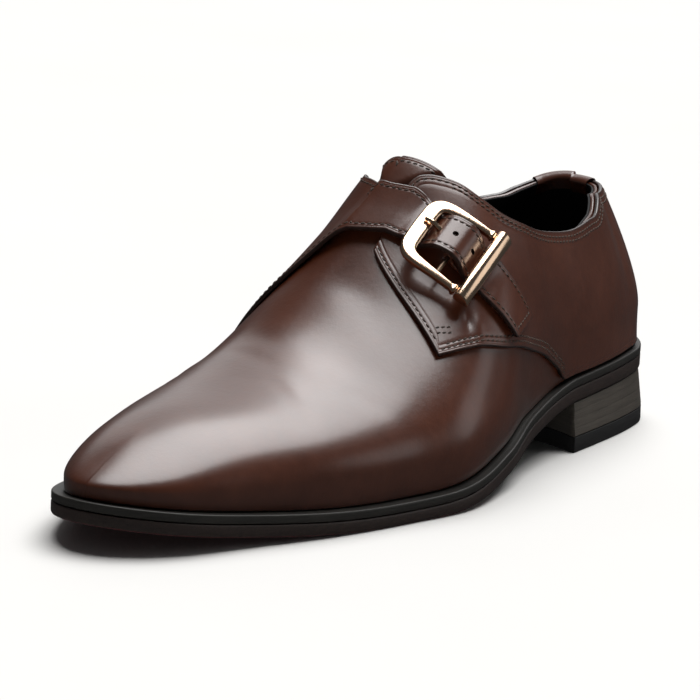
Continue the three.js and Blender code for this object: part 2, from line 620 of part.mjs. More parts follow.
// The prong's bends: a, h and radius.
const PRONG = [
  [-1.2, -0.2, 0.95], [-7.4, 0.95, 0.9], [-10.4, 1.85, 0.85], [-13.3, 1.45, 0.7],
];
const PRONG_LAP = 0.3; // each length starts this far back inside the one before
const prongRods = (more) =>
  PRONG.slice(1).map((end, i) => {
    const [a, h, r] = PRONG[i];
    return rod([a + PRONG_LAP, h, r], end, more);
  });
const BAR_SHAPE = [
  [9.4, -1.7], [9.4, 1.5], [10.0, 2.3], [11.0, 2.55],
  [12.6, 2.0], [14.2, 0.6], [14.9, -0.9], [14.3, -1.7],
];
const BAR_MIDDLE = [12, -0.4];
const BAR_BEVEL = { long: 0.8, left: 0.82 }; // its ends are drawn in over the last stretch
const BAR_ROWS = [-1, -0.75, -0.4, 0, 0.4, 0.75, 1].map((f) => f * (BAR_HALF - BAR_BEVEL.long));
function buckleBar() {
  const row = (b, size) =>
    BAR_SHAPE.map(([a, h]) => {
      const [ma, mh] = BAR_MIDDLE;
      return atBuckle(ma + (a - ma) * size, b, mh + (h - mh) * size);
    });
  return solid(
    tube([
      row(-BAR_HALF, BAR_BEVEL.left),
      ...BAR_ROWS.map((b) => row(b, 1)),
      row(BAR_HALF, BAR_BEVEL.left),
    ]),
  );
}
const pinRod = (r, half) => across(-half, half, round(PIN_A, PIN_H, r));
const pinHole = () => pinRod(PIN_RADIUS + PIN_CLEAR, THROUGH);
const aboutProng = (half, shape) => across(PRONG_B - half, PRONG_B + half, shape);
const TAB_TAIL = [
  [0.5, -2.1], [0.9, -1.3], [2.2, -1.6], [4.6, -2.2], [7.6, -3.2], [7.8, -4.0], [4.2, -3.6], [1.8, -3.1],
];
const TAB_SLOT = [[-3, -4], [3.6, -4], [3.6, 4], [-3, 4]];

const buckleParts = {
  frame: () => solid(buckleFrame()).subtract(pinHole()),
  bar: buckleBar,
  pin: () => pinRod(PIN_RADIUS, PIN_HALF),
  prong: () =>
    [...prongRods(0), aboutProng(PRONG_EYE_HALF, round(PIN_A, PIN_H, PRONG_EYE))]
      .reduce((a, b) => a.add(b))
      .subtract(pinHole()),
  tab: () =>
    aboutProng(TAB_HALF, round(PIN_A, PIN_H, TAB_EYE))
      .add(aboutProng(TAB_HALF, TAB_TAIL))
      .subtract(pinHole())
      .subtract(aboutProng(TAB_SLOT_HALF, TAB_SLOT)),
};

// ---- the parts ----
const LEATHER = { color: 0x3a1d14, roughness: 0.35 };
const DARK = { color: 0x17130f, roughness: 0.6 };
const BRASS = { color: 0xd9a97c, roughness: 0.2, metalness: 1 };
const SOCK = { color: 0x2a241e, roughness: 0.8 };
const TREAD = { color: 0x2c1410, roughness: 0.5 };
const RUBBER = { color: 0x101010, roughness: 0.8 };
// The strap's punched holes, and room for the prong that goes through one of them.
const punch = (a) => {
  const level = strapLevel(a, PRONG_B);
  const ring = (h) =>
    around(PIN_SIDES).map((turn) => {
      const [da, db] = [STRAP_HOLE_RADIUS * Math.cos(turn), STRAP_HOLE_RADIUS * Math.sin(turn)];
      return atBuckle(a + da, PRONG_B + db, level + h);
    });
  return solid(tube([ring(-2 * STRAP), ring(2 * STRAP)]));
};
const strapped = () =>
  [...STRAP_HOLES.map(punch), ...prongRods(PRONG_ROOM)].reduce(
    (made, cutter) => made.subtract(cutter),
    solid(innerQuarter()),
  );
const heelStack = () =>
  heelBlock(STACK_IN, LIFT_EDGE.top, (s) => treadZ(s) - GAP, () => LIFT_HEIGHT + GAP);
const topLift = () => heelBlock(LIFT_EDGE.top, LIFT_EDGE.low, () => LIFT_HEIGHT, () => 0);
const PARTS = [
  ["upper", () => solid(upper()), LEATHER],
  ["tongue", () => solid(tongue()), LEATHER],
  ["outer_quarter", () => solid(outerQuarter()), LEATHER],
  ["inner_quarter_strap", strapped, LEATHER],
  ["buckle_frame", buckleParts.frame, BRASS],
  ["buckle_bar", buckleParts.bar, BRASS],
  ["buckle_pin", buckleParts.pin, BRASS],
  ["buckle_prong", buckleParts.prong, BRASS],
  ["buckle_tab", buckleParts.tab, LEATHER],
  ["insole", () => solid(insole()), SOCK],
  ["welt", () => solid(welt()), DARK],
  ["outsole", () => solid(outsole()), TREAD],
  ["heel_stack", heelStack, DARK],
  ["top_lift", topLift, RUBBER],
];

const group = new THREE.Group();
group.name = "monk_strap_shoe";
for (const [name, make, look] of PARTS) {
  const mesh = make().getMesh();
  const geometry = new THREE.BufferGeometry();
  geometry.setAttribute("position", new THREE.BufferAttribute(new Float32Array(mesh.vertProperties), 3));
  geometry.setIndex(new THREE.BufferAttribute(new Uint32Array(mesh.triVerts), 1));
  geometry.computeVertexNormals();
  const part = new THREE.Mesh(geometry, new THREE.MeshStandardMaterial(look));
  part.name = name;
  group.add(part);
}
// Centre the whole over its own floor print.
const box = new THREE.Box3().setFromObject(group);
const middle = box.getCenter(new THREE.Vector3());
for (const part of group.children) part.geometry.translate(-middle.x, -middle.y, -box.min.z);

export default group;
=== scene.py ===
# %% [markdown]
# # A monk strap shoe for the left foot
#
# The real shoe is a stack of cut leather: a calf upper pulled over a last, two quarters laid on it,
# one of which grows into a strap with a buckle, and a leather sole with a stacked heel under it.
# A CAD model already fixes every size, so this script loads it first and builds each piece as a finer
# mesh in the same place. All sizes below are in millimetres and are turned to metres at the very end.

import math

import bmesh
import bpy
import numpy as np
from mathutils import Matrix, Vector


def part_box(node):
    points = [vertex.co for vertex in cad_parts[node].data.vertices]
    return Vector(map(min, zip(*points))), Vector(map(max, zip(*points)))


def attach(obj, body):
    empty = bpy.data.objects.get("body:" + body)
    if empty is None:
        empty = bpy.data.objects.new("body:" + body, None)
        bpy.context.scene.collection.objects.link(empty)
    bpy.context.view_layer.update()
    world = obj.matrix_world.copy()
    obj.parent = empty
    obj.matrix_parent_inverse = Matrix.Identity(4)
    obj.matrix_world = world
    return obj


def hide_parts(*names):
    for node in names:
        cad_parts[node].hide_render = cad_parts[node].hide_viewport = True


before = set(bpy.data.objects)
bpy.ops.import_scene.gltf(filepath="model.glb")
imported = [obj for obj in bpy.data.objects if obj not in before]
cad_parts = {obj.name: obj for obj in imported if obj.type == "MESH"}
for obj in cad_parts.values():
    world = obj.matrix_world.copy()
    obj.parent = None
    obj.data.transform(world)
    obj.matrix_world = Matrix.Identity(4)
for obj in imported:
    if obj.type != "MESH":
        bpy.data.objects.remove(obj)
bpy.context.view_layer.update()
print("CAD nodes:", ", ".join(sorted(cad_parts)))

# %% [markdown]
# ## The camera
#
# A long lens seen from a low place in front of the buckle side keeps the shoe's shape honest: a short
# lens would swell the toe. The camera is placed by two angles round the shoe, a distance and a small roll.

# %% Place the camera
LOOK_AT = (-0.00678, -0.00597, 0.04155)
CAMERA_TURN, CAMERA_RISE, CAMERA_ROLL = 30.745, 12.202, 2.878
CAMERA_AWAY = 1.2395
CAMERA_LENS = 189.0


def camera_matrix(turn, rise, roll, target, away):
    a, e, r = (math.radians(v) for v in (turn, rise, roll))
    back = Vector((math.sin(a) * math.cos(e), -math.cos(a) * math.cos(e), math.sin(e)))
    level = Vector((math.cos(a), math.sin(a), 0))
    upright = back.cross(level)
    right = math.cos(r) * level + math.sin(r) * upright
    up = math.cos(r) * upright - math.sin(r) * level
    placed = Matrix((right, up, back)).transposed().to_4x4()
    placed.translation = Vector(target) + back * away
    return placed


camera = bpy.data.objects.new("camera", bpy.data.cameras.new("camera"))
camera.data.lens = CAMERA_LENS
camera.data.clip_start, camera.data.clip_end = 0.05, 50
camera.matrix_world = camera_matrix(CAMERA_TURN, CAMERA_RISE, CAMERA_ROLL, LOOK_AT, CAMERA_AWAY)
bpy.context.scene.collection.objects.link(camera)
bpy.context.scene.camera = camera
print("camera stands at", [round(v, 3) for v in camera.matrix_world.translation])

# %% [markdown]
# ## Shader sums as plain expressions
#
# A finish is a little sum over the surface: grain plus pores, darker where the edge is worn. Drawing
# that sum by hand in the node editor is slow, so one small class wraps a node's output and lets `+`, `-`
# and `*` add the Math nodes. Colours never go through a Math node, which would turn them grey.

# %% One class for values, one for finishes
class Value:
    """A node's output that can be used in a sum."""

    def __init__(self, finish, socket):
        self.finish, self.socket = finish, socket

    def sum(self, operation, *terms):
        return self.finish.node("Math", {"operation": operation}, dict(enumerate(terms)))

    def __add__(self, other):
        return self.sum("ADD", self, other)

    def __sub__(self, other):
        return self.sum("SUBTRACT", self, other)

    def __rsub__(self, other):
        return self.sum("SUBTRACT", other, self)

    def __mul__(self, other):
        return self.sum("MULTIPLY", self, other)

    __radd__, __rmul__ = __add__, __mul__

    def power(self, exponent):
        return self.sum("POWER", self, exponent)

    def between(self, low, high):
        """0 below low, 1 above high, soft in between."""
        return self.finish.node(
            "MapRange", {"interpolation_type": "SMOOTHSTEP"}, {"Value": self, "From Min": low, "From Max": high}
        )


class Finish:
    """One material: a shader, and one way of adding any node to it."""

    def __init__(self, name, **constants):
        self.material = bpy.data.materials.new(name)
        self.material.use_nodes = True
        self.tree = self.material.node_tree
        self.shader = self.tree.nodes["Principled BSDF"]
        for socket, value in constants.items():
            self.shader.inputs[socket.replace("_", " ")].default_value = value

    def node(self, kind, settings=None, sockets=None, out=0):
        """Add a node of one kind: its settings first, then a value or a link for each socket."""
        made = self.tree.nodes.new("ShaderNode" + kind)
        for key, value in (settings or {}).items():
            if key == "stops":
                while len(made.color_ramp.elements) < len(value):
                    made.color_ramp.elements.new(0.5)
                for stop, (at, colour) in zip(made.color_ramp.elements, value):
                    stop.position, stop.color = at, (*colour, 1)
            else:
                setattr(made, key, value)
        for key, value in (sockets or {}).items():
            if isinstance(value, Value):
                self.tree.links.new(value.socket, made.inputs[key])
            else:
                made.inputs[key].default_value = value
        return Value(self, made.outputs[out])

    def place(self, scale=1000.0):
        """Where a point lies on the shoe, in millimetres."""
        return self.stretched(self.node("TexCoord", out="Object"), (scale, scale, scale))

    def stretched(self, place, by):
        return self.node("VectorMath", {"operation": "MULTIPLY"}, {0: place, 1: by})

    def noise(self, place, scale, detail=3.0, roughness=0.5):
        return self.node(
            "TexNoise", None, {"Vector": place, "Scale": scale, "Detail": detail, "Roughness": roughness}
        )

    def cells(self, place, scale):
        return self.node("TexVoronoi", None, {"Vector": place, "Scale": scale})

    def ramp(self, share, *stops):
        """Colours at given shares, blended in between."""
        return self.node("ValToRGB", {"stops": stops}, {"Fac": share})

    def marked(self, name):
        """A number that the mesh carries at each point."""
        return self.node("Attribute", {"attribute_name": name}, out="Fac")

    def blend(self, share, first, second):
        """Two colours mixed by a share; a Mix node keeps its colours at sockets 6 and 7."""
        first, second = (c if isinstance(c, Value) else (*c, 1) for c in (first, second))
        return self.node("Mix", {"data_type": "RGBA"}, {0: share, 6: first, 7: second}, out=2)

    def bump(self, height, depth, strength=1.0, under=None):
        """Height is a value of about 0 to 1, depth what 1 stands for in millimetres."""
        sockets = {"Height": height, "Distance": depth * 0.001, "Strength": strength}
        if under is not None:
            sockets["Normal"] = under
        return self.node("Bump", None, sockets)

    def feed(self, **links):
        for socket, value in links.items():
            self.tree.links.new(value.socket, self.shader.inputs[socket.replace("_", " ")])
        print(f"{self.material.name}: {len(self.tree.nodes)} nodes")
        return self.material


print("shader helpers ready")

# %% [markdown]
# ## The bottom of the shoe
#
# Everything is placed by the shoe's own sizes. `s` runs from the back of the sole to the toe and `t`
# across it, out to the buckle side. The outline is kept as squared half widths, because then both of its
# ends close in a round arc. The curves that pass through the short tables never overshoot their rows.

# %% Curves through short tables
LENGTH = 304.0


def curve(xs, ys):
    xs, ys = np.asarray(xs, float), np.asarray(ys, float)
    step = np.diff(xs)
    rise = np.diff(ys) / step
    lean = np.full(len(xs), rise[0])
    if len(xs) > 2:
        a, b = 2 * step[1:] + step[:-1], step[1:] + 2 * step[:-1]
        same = rise[:-1] * rise[1:] > 0
        safe = np.where(rise == 0, 1.0, rise)
        lean[1:-1] = np.where(same, (a + b) / (a / safe[:-1] + b / safe[1:]), 0)
        for end, (h0, h1, d0, d1) in ((0, (*step[:2], *rise[:2])), (-1, (*step[:-3:-1], *rise[:-3:-1]))):
            m = ((2 * h0 + h1) * d0 - h0 * d1) / (h0 + h1)
            if m * d0 <= 0:
                m = 0.0
            elif d0 * d1 <= 0 and abs(m) > 3 * abs(d0):
                m = 3 * d0
            lean[end] = m

    def at(x):
        q = np.clip(x, xs[0], xs[-1])
        i = np.clip(np.searchsorted(xs, q, side="left") - 1, 0, len(xs) - 2)
        f = (q - xs[i]) / step[i]
        g = 1 - f
        return (
            ys[i] * g * g * (1 + 2 * f) + ys[i + 1] * f * f * (3 - 2 * f)
            + step[i] * (lean[i] * f * g * g - lean[i + 1] * g * f * f)
        )

    return at


def table(columns, rows):
    rows = np.array(rows, float)
    return {name: curve(rows[:, 0], rows[:, i + 1]) for i, name in enumerate(columns.split()[1:])}


def mix(a, b, f):
    return a + (b - a) * f


OUTLINE = table("s middle outer inner", [
    [s, middle, outer ** 2, inner ** 2] for s, middle, outer, inner in [
        [0, 0, 0, 0], [9, 0.6, 26.5, 23.5], [27, 1.7, 34.5, 34], [52, 2.7, 36.3, 36],
        [82, 3.4, 36.6, 32.2], [115, 3.3, 40, 31.3], [146, 2.4, 48.2, 41], [176, 0.9, 52.7, 51.9],
        [200, -0.8, 48.8, 53.7], [231, -3.6, 42.2, 48.3], [261, -7.1, 32.6, 38.8],
        [286, -10.4, 24.2, 25.9], [304, -13.2, 0, 0],
    ]
])
WELT_STANDS_OUT = table("s by", [[0, 3.6], [60, 3.0], [100, 3.0], [150, 3.8], [200, 4.2], [304, 4.0]])["by"]
BALL_FLAT = (197, 210)
TOE_SPRING = 9.5
BREAST_S, BREAST_HOLLOW, BREAST_HALF, BREAST_T = 80, 9, 35.0, 1.5  # the arc at the heel's front
SEAT_FRONT, SEAT_BACK = 17.7, 20.2
SOLE_FORE, SOLE_HEEL = 7.4, 8.4
WELT, GAP, WALL = 2.9, 0.3, 2.2
LIFT_HEIGHT = 5.6
STACK_IN, LIFT_EDGE = 0.5, -1.4  # the heel starts inside the sole's edge and flares out past it


def s_at(u):
    return LENGTH / 2 * (1 - np.cos(np.pi * u))


def u_at(s):
    return np.arccos(np.clip(1 - 2 * np.asarray(s) / LENGTH, -1, 1)) / np.pi


def rim(u, side):
    """Edge of the sole at the outline place u; side is +1 outer, -1 inner."""
    s = s_at(u)
    half = np.sqrt(np.maximum(np.where(side > 0, OUTLINE["outer"](s), OUTLINE["inner"](s)), 0))
    return np.stack([s, OUTLINE["middle"](s) + side * half], -1)


def inset(u, side, by):
    u, side = np.broadcast_arrays(np.asarray(u, float), np.asarray(side, float))
    edge = rim(u, side)
    along = rim(np.clip(u + 1e-4, 0, 1), side) - rim(np.clip(u - 1e-4, 0, 1), side)
    k = by * side / np.maximum(np.hypot(along[..., 0], along[..., 1]), 1e-12)
    moved = edge + np.stack([along[..., 1] * k, -along[..., 0] * k], -1)
    back = np.stack([edge[..., 0] + by, edge[..., 1]], -1)
    front = np.stack([edge[..., 0] - by, edge[..., 1]], -1)
    return np.where((u < 1e-6)[..., None], back, np.where((u > 1 - 1e-6)[..., None], front, moved))


def feather(u, side, more=0.0):
    """Where the upper meets the welt."""
    return inset(u, side, WELT_STANDS_OUT(s_at(u)) + more)


def tread_z(s):
    s = np.asarray(s, float)
    back, front = BALL_FLAT
    toe = TOE_SPRING * (np.maximum(s - front, 0) / (LENGTH - front)) ** 1.8
    seat = mix(SEAT_FRONT, SEAT_BACK, (BREAST_S - s) / BREAST_S)
    f = np.clip((back - s) / (back - BREAST_S), 0, 1)
    waist = SEAT_FRONT * (f * f * (3 - 2 * f) * 0.62 + f * f * 0.38)
    return np.where(s > back, toe, np.where(s < BREAST_S, seat, waist))


def seat_z(s):
    return tread_z(s) + mix(SOLE_HEEL, SOLE_FORE, np.clip((s - 100) / 100, 0, 1))


SIDEWAYS = 1000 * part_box("outsole")[1].x - max(rim(np.linspace(0, 1, 2001), 1.0)[:, 1])
BACK_AT = 1000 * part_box("outsole")[1].y


def in_metres(points):
    """(s, t, z) in millimetres to Blender's metres."""
    p = np.asarray(points, float)
    return np.stack([p[..., 1] + SIDEWAYS, BACK_AT - p[..., 0], p[..., 2]], -1) * 0.001


print("the sole stands", round(SIDEWAYS, 2), "mm to the buckle side of the middle")

# %% [markdown]
# ## The last
#
# A shoe's form comes from the wooden last inside it. Each cross section is a pair of soft arcs: up and
# out from the feather edge to the hip, then over to the ridge. A place on the upper is (s, w), where w
# runs from +1 at the outer feather edge, over the ridge at 0, to -1 at the inner one. One function
# gives the whole surface, and every piece of leather below is laid on it at its own height.

# %% The last's surface
LAST = table("s ridge ridge_t outer_bulge inner_bulge outer_hip inner_hip wall roof", [
    [0, 118, 1.0, -0.6, 0.4, 14, 17, 0.40, 0.26], [30, 105, 1.4, -0.6, 0.8, 14, 17, 0.23, 0.25],
    [42, 108.8, 1.4, -0.25, 1.1, 14, 17, 0.285, 0.385],
    [60, 114.5, 1.5, 0.3, 1.5, 14, 17, 0.39, 0.34], [90, 116, 0, 0.5, 2.5, 15, 18, 0.45, 0.34],
    [110, 117, -2, 1, 3.5, 15, 18, 0.5, 0.4], [130, 108, -5, 2, 4, 14, 18, 0.5, 0.42],
    [150, 87.5, -7, 3, 4, 13, 15, 0.5, 0.46], [175, 65.3, -9.5, 2.5, 3, 12, 12, 0.48, 0.5],
    [200, 49.3, -10.2, 1.5, 1.8, 11, 11, 0.47, 0.55], [230, 41.5, -11, 1.2, 1.2, 10, 10, 0.52, 0.56],
    [260, 37.2, -12, 1.1, 0.2, 7, 7, 0.56, 0.52], [304, 22, -13, 1.0, 0.6, 4, 4, 0.62, 0.45],
])
HEEL_EASE, TOE_EASE = (62, 32.3), (232, 27)
LOW = 0.18
LASTING_GAP = 0.45


def arc(a, b, c, d, f):
    g = 1 - f
    return g ** 3 * a + 3 * g * g * f * b + 3 * g * f * f * c + f ** 3 * d


def last_point(u, w):
    u, w = np.broadcast_arrays(np.clip(u, 0, 1), np.clip(w, -1, 1))
    side = np.where(w >= 0, 1.0, -1.0)
    v = 1 - np.abs(w)
    foot = feather(u, side)
    s = foot[..., 0]
    base = seat_z(s) + LASTING_GAP
    back = np.maximum(HEEL_EASE[0] - s, 0) / HEEL_EASE[0]
    front = np.maximum(s - TOE_EASE[0], 0) / (LENGTH - TOE_EASE[0])
    c = s + HEEL_EASE[1] * back ** 2 - TOE_EASE[1] * front ** 2
    ct = LAST["ridge_t"](c)
    reach = np.maximum(np.hypot(s - c, foot[..., 1] - ct), 1e-9)
    lean_s, lean_t = (s - c) / reach, (foot[..., 1] - ct) / reach
    bulge = np.where(side > 0, LAST["outer_bulge"](s), LAST["inner_bulge"](s))
    hip = np.where(side > 0, LAST["outer_hip"](s), LAST["inner_hip"](s))
    wide, hip_z = reach + bulge, base + hip
    f = np.clip(v / LOW, 0, 1)
    g = np.clip((v - LOW) / (1 - LOW), 0, 1)
    over = arc(wide, wide, LAST["roof"](s) * wide, 0, g)
    slope = LAST["ridge"](c + 0.5) - LAST["ridge"](c - 0.5)
    high = hip_z + (LAST["ridge"](c) - hip_z + slope * lean_s * over) * arc(0, LAST["wall"](s), 1, 1, g)
    out = np.where(v < LOW, arc(reach, reach + 0.6 * bulge, wide, wide, f), over)
    z = np.where(v < LOW, arc(base, base + 0.12 * hip, base + 0.5 * hip, hip_z, f), high)
    return np.stack([c + lean_s * out, ct + lean_t * out, z], -1)


def unit(v):
    return v / np.maximum(np.linalg.norm(v, axis=-1, keepdims=True), 1e-12)


def last_normal(u, w):
    u, w = np.broadcast_arrays(np.asarray(u, float), np.asarray(w, float))

    def at(ww):
        q = np.clip(u, 0.0006, 0.9994)
        du = last_point(q + 3e-4, ww) - last_point(q - 3e-4, ww)
        dw = last_point(q, ww + 1e-3) - last_point(q, ww - 1e-3)
        return unit(np.cross(du, dw))

    ends = ((u < 1e-6) | (u > 1 - 1e-6))[..., None]
    return np.where(ends, unit(at(w) + at(-w)), at(w))


print("instep at the throat:", np.round(last_point(u_at(148.0), 0.0), 1), "mm")

# %% [markdown]
# ## Soft creases
#
# A new shoe isn't perfectly smooth. Where the vamp bends the leather has begun to give in shallow slanting
# folds, it hollows a little in front of the strap, and it presses in round the buckle's rivet. Each
# one is a soft trough with its own place, direction, length and depth. They move the surface itself and
# so catch the light from every side, which a bump map can't do at the outline.

# %% Troughs and ridges in the leather
FOLDS = [  # s, w, half length along its line in mm, half width in mm, direction in degrees, depth in mm
    [216, 0.13, 13, 2.6, 62, 0.15], [221, 0.22, 14, 3.0, 66, 0.14], [212, 0.05, 12, 2.6, 58, 0.12],
    [226, 0.12, 11, 2.8, 72, 0.09], [206, -0.10, 13, 3.0, 70, 0.18], [205, 0.46, 12, 3.4, 104, 0.16],
    [212, -0.42, 13, 3.4, 82, 0.20], [220, -0.36, 10, 3.2, 86, 0.14], [176, 0.17, 17, 5.5, 60, 0.30],
    [188, 0.33, 15, 6.5, 72, -0.22], [152, 0.68, 18, 4.6, 18, 0.24], [118, 0.80, 20, 5.0, 6, 0.20],
    [60, 0.66, 16, 6.0, 84, 0.18], [38, -0.62, 14, 6.0, 90, 0.20], [92, -0.7, 18, 5.0, 8, 0.22],
    [140, -0.55, 16, 4.4, 20, 0.24], [157, 0.472, 2.2, 1.9, 40, 0.75], [160, 0.50, 3.5, 3.0, 40, 0.30],
]
HALF_GIRTH = 92.0  # millimetres from ridge to feather edge, near enough to place a fold


def give(s, w):
    """How far the leather sinks at a place, in millimetres."""
    sunk = np.zeros(np.broadcast(s, w).shape)
    for at_s, at_w, long, wide, turn, depth in FOLDS:
        ds, dt = s - at_s, (w - at_w) * HALF_GIRTH
        c, k = math.cos(math.radians(turn)), math.sin(math.radians(turn))
        along, aside = ds * c + dt * k, dt * c - ds * k
        aside = aside + 0.012 * along ** 2 / (1 + np.abs(along) / 20)
        fold = np.exp(-(along / long) ** 2) * (
            np.exp(-(aside / wide) ** 2) - 0.45 * np.exp(-((aside - 2.1 * wide) / (1.2 * wide)) ** 2)
        )
        sunk = sunk + depth * fold
    return sunk


def skin(s, w, lift=0.0, creased=True):
    """The upper's own surface, raised by lift along its normal."""
    u = u_at(s)
    up = lift - give(s, w) if creased else lift + 0 * np.asarray(s)
    return last_point(u, w) + last_normal(u, w) * np.asarray(up)[..., None]


everywhere = np.meshgrid(np.arange(0, 300.0), np.arange(-1, 1, 0.02))
print("deepest fold:", round(float(np.max(give(*everywhere))), 2), "mm")

# %% [markdown]
# ## Making a mesh
#
# Each piece is a grid of points that is closed into a solid skin, so it has true thickness and a rounded
# rim that light can run along. A mesh may also carry numbers at its points, such as how near the
# cut edge is. The finish reads them later.

# %% From grids to pieces
def make_piece(name, points, faces, marks=None):
    mesh = bpy.data.meshes.new(name)
    mesh.from_pydata(in_metres(points).tolist(), [], [list(map(int, f)) for f in faces])
    for key, values in (marks or {}).items():
        layer = mesh.attributes.new(key, "FLOAT", "POINT")
        layer.data.foreach_set("value", np.asarray(values, np.float32).ravel())
    mesh.validate()
    face_out(mesh)
    mesh.shade_smooth()
    piece = bpy.data.objects.new(name, mesh)
    bpy.context.scene.collection.objects.link(piece)
    print(f"{name}: {len(mesh.vertices)} points")
    return piece


def face_out(mesh):
    work = bmesh.new()
    work.from_mesh(mesh)
    bmesh.ops.recalc_face_normals(work, faces=work.faces)
    work.to_mesh(mesh)
    work.free()


def grid_faces(rows, columns, wrap_rows=False, wrap_columns=False, first=0):
    i = np.arange(rows if wrap_rows else rows - 1)
    j = np.arange(columns if wrap_columns else columns - 1)
    i, j = (v.ravel() for v in np.meshgrid(i, j, indexing="ij"))
    k, m = (i + 1) % rows, (j + 1) % columns
    return np.stack([i * columns + j, i * columns + m, k * columns + m, k * columns + j], -1) + first


def tube(rings, closed=False):
    """A skin over a run of rings; unless the run closes on itself it gets a cap at each end."""
    rings = np.asarray(rings)
    n, m = rings.shape[:2]
    faces = grid_faces(n, m, wrap_rows=closed, wrap_columns=True).tolist()
    if not closed:
        faces += [list(range(m)), list(range((n - 1) * m, n * m))[::-1]]
    return rings.reshape(-1, 3), faces


def joined(name, *bodies, marks=None):
    points, faces = [], []
    for p, f in bodies:
        first = sum(len(q) for q in points)
        points.append(p)
        faces += [[i + first for i in face] for face in f]
    return make_piece(name, np.concatenate(points), faces, marks)


def sharpen(piece, degrees):
    """Keeps hard corners hard while the rest is shaded smooth."""
    mesh = piece.data
    work = bmesh.new()
    work.from_mesh(mesh)
    for edge in work.edges:
        if len(edge.link_faces) == 2 and edge.calc_face_angle(0) > math.radians(degrees):
            edge.smooth = False
    work.to_mesh(mesh)
    work.free()


def dress(piece, finish, slot, *stands_for):
    piece.data.materials.clear()
    piece.data.materials.append(finish)
    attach(piece, "root")
    if stands_for:
        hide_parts(*stands_for)
    print(f"{piece.name}: {finish.name}, listed under {slot}")
    return piece


# %% [markdown]
# ## Vamp and lining
#
# The upper's shell is two layers: calf outside, and a black lining that rolls over the collar. Both are
# the same grid of stations round the foot and rows up the wall, laid at different heights. Behind the
# throat the two sides end at the topline; in front of it they meet on the ridge.

# %% Shell of the upper
THROAT_S = 148
TOP_OUTER = table("s w", [
    [0, 0.36], [12, 0.355], [35, 0.378], [53, 0.483], [66, 0.524], [80, 0.53], [90, 0.522], [100, 0.51],
    [111, 0.48], [120, 0.42], [127, 0.34], [134, 0.26], [140, 0.17], [146, 0.07], [148, 0],
])["w"]
TOP_INNER = table("s w", [
    [0, 0.36], [8, 0.372], [20, 0.398], [42, 0.47], [66, 0.54], [90, 0.522], [102, 0.505], [112, 0.475],
    [120, 0.42], [127, 0.34], [134, 0.26], [140, 0.17], [146, 0.07], [148, 0],
])["w"]
CALF_LAYER = 1.3
STATIONS, ROWS = 230, 64
ROLL_TURNS = (30, 60, 90, 120, 150)  # degrees over the collar's rolled edge
CROWDED = 0.35  # how much closer the stations stand at the heel, the waist and the toe


def topline(s, side):
    return np.where(s < THROAT_S, np.where(side > 0, TOP_OUTER(s), TOP_INNER(s)), 0)


def shell(name, outside, inside, roll, stations, rows):
    """A closed skin between two heights; the collar's edge is rolled up by roll."""
    f = np.linspace(0, 1, stations + 1)
    u = f - CROWDED * np.sin(4 * np.pi * f) / (4 * np.pi)
    u = np.concatenate([u, u[-2:0:-1]])
    side = np.concatenate([np.ones(stations + 1), -np.ones(stations - 1)])
    s = s_at(u)
    top = topline(s, side)
    climb = np.linspace(0, 1, rows + 1) ** 1.15
    w = side[:, None] * mix(1, top[:, None], climb)
    column = np.broadcast_to(s[:, None], w.shape)
    layers = []
    for lift in (outside, inside):
        p = skin(column, w, lift)
        p[:, 0, 2] = seat_z(p[:, 0, 0]) + LASTING_GAP
        layers.append(p)
    edge = []
    half = (outside - inside) / 2
    up = unit(skin(s, side * np.maximum(top - 0.01, 0)) - skin(s, side * (top + 0.01)))
    out = last_normal(u_at(s), side * top)
    for turn in np.radians(ROLL_TURNS):
        side_way = out * (outside - half + half * math.cos(turn))
        edge.append(skin(s, side * top, 0.0) + side_way + up * roll * math.sin(turn))
    edge = np.stack(edge, 1)
    closed = s >= THROAT_S
    straight = mix(layers[0][:, -1:], layers[1][:, -1:], np.linspace(0, 1, 7)[1:-1, None])
    edge[closed] = straight[closed]
    ring = np.concatenate([layers[0], edge, layers[1][:, ::-1]], 1)
    n, m = ring.shape[:2]
    faces = grid_faces(n, m, wrap_rows=True, wrap_columns=True)
    rolled = (faces[:, 0] % m >= rows) & (faces[:, 0] % m <= rows + len(ROLL_TURNS))
    shut = closed[faces[:, 0] // m] & closed[faces[:, 2] // m]
    faces = faces[~(rolled & shut)]
    piece = make_piece(name, ring.reshape(-1, 3), faces)
    work = bmesh.new()
    work.from_mesh(piece.data)
    bmesh.ops.remove_doubles(work, verts=work.verts, dist=2e-6)
    loose = [v for v in work.verts if not v.link_faces]
    bmesh.ops.delete(work, geom=loose, context="VERTS")
    bmesh.ops.recalc_face_normals(work, faces=work.faces)
    work.to_mesh(piece.data)
    work.free()
    return piece


vamp = shell("vamp", 0.0, -CALF_LAYER, 0.3, STATIONS, ROWS)
lining = shell("lining", -CALF_LAYER - 0.05, -WALL, 0.55, 130, 30)

# %% [markdown]
# ## Leather cut with an edge
#
# Quarters, strap and tongue are all flat leather with a cut edge. Seen end on, such a piece is a flat box
# with rounded corners, a creased line beside the edge and a shallow channel where the thread lies.
# This builder takes any surface as a function and wraps that section along it, so the same edge runs
# round every piece. The angle between ribs and edge is measured, so the rounding keeps its width.

# %% A strip of leather with a real edge
EDGE_ROUND = 0.55
SEAM_IN = 2.1  # the stitching lies this far inside the edge
SEAM_STEP = 1.75  # a second row runs this far inside the first
THREAD_CHANNEL = ((-0.5, 0), (-0.22, 0.05), (0, 0.08), (0.22, 0.05), (0.5, 0))  # beside the row, and how deep


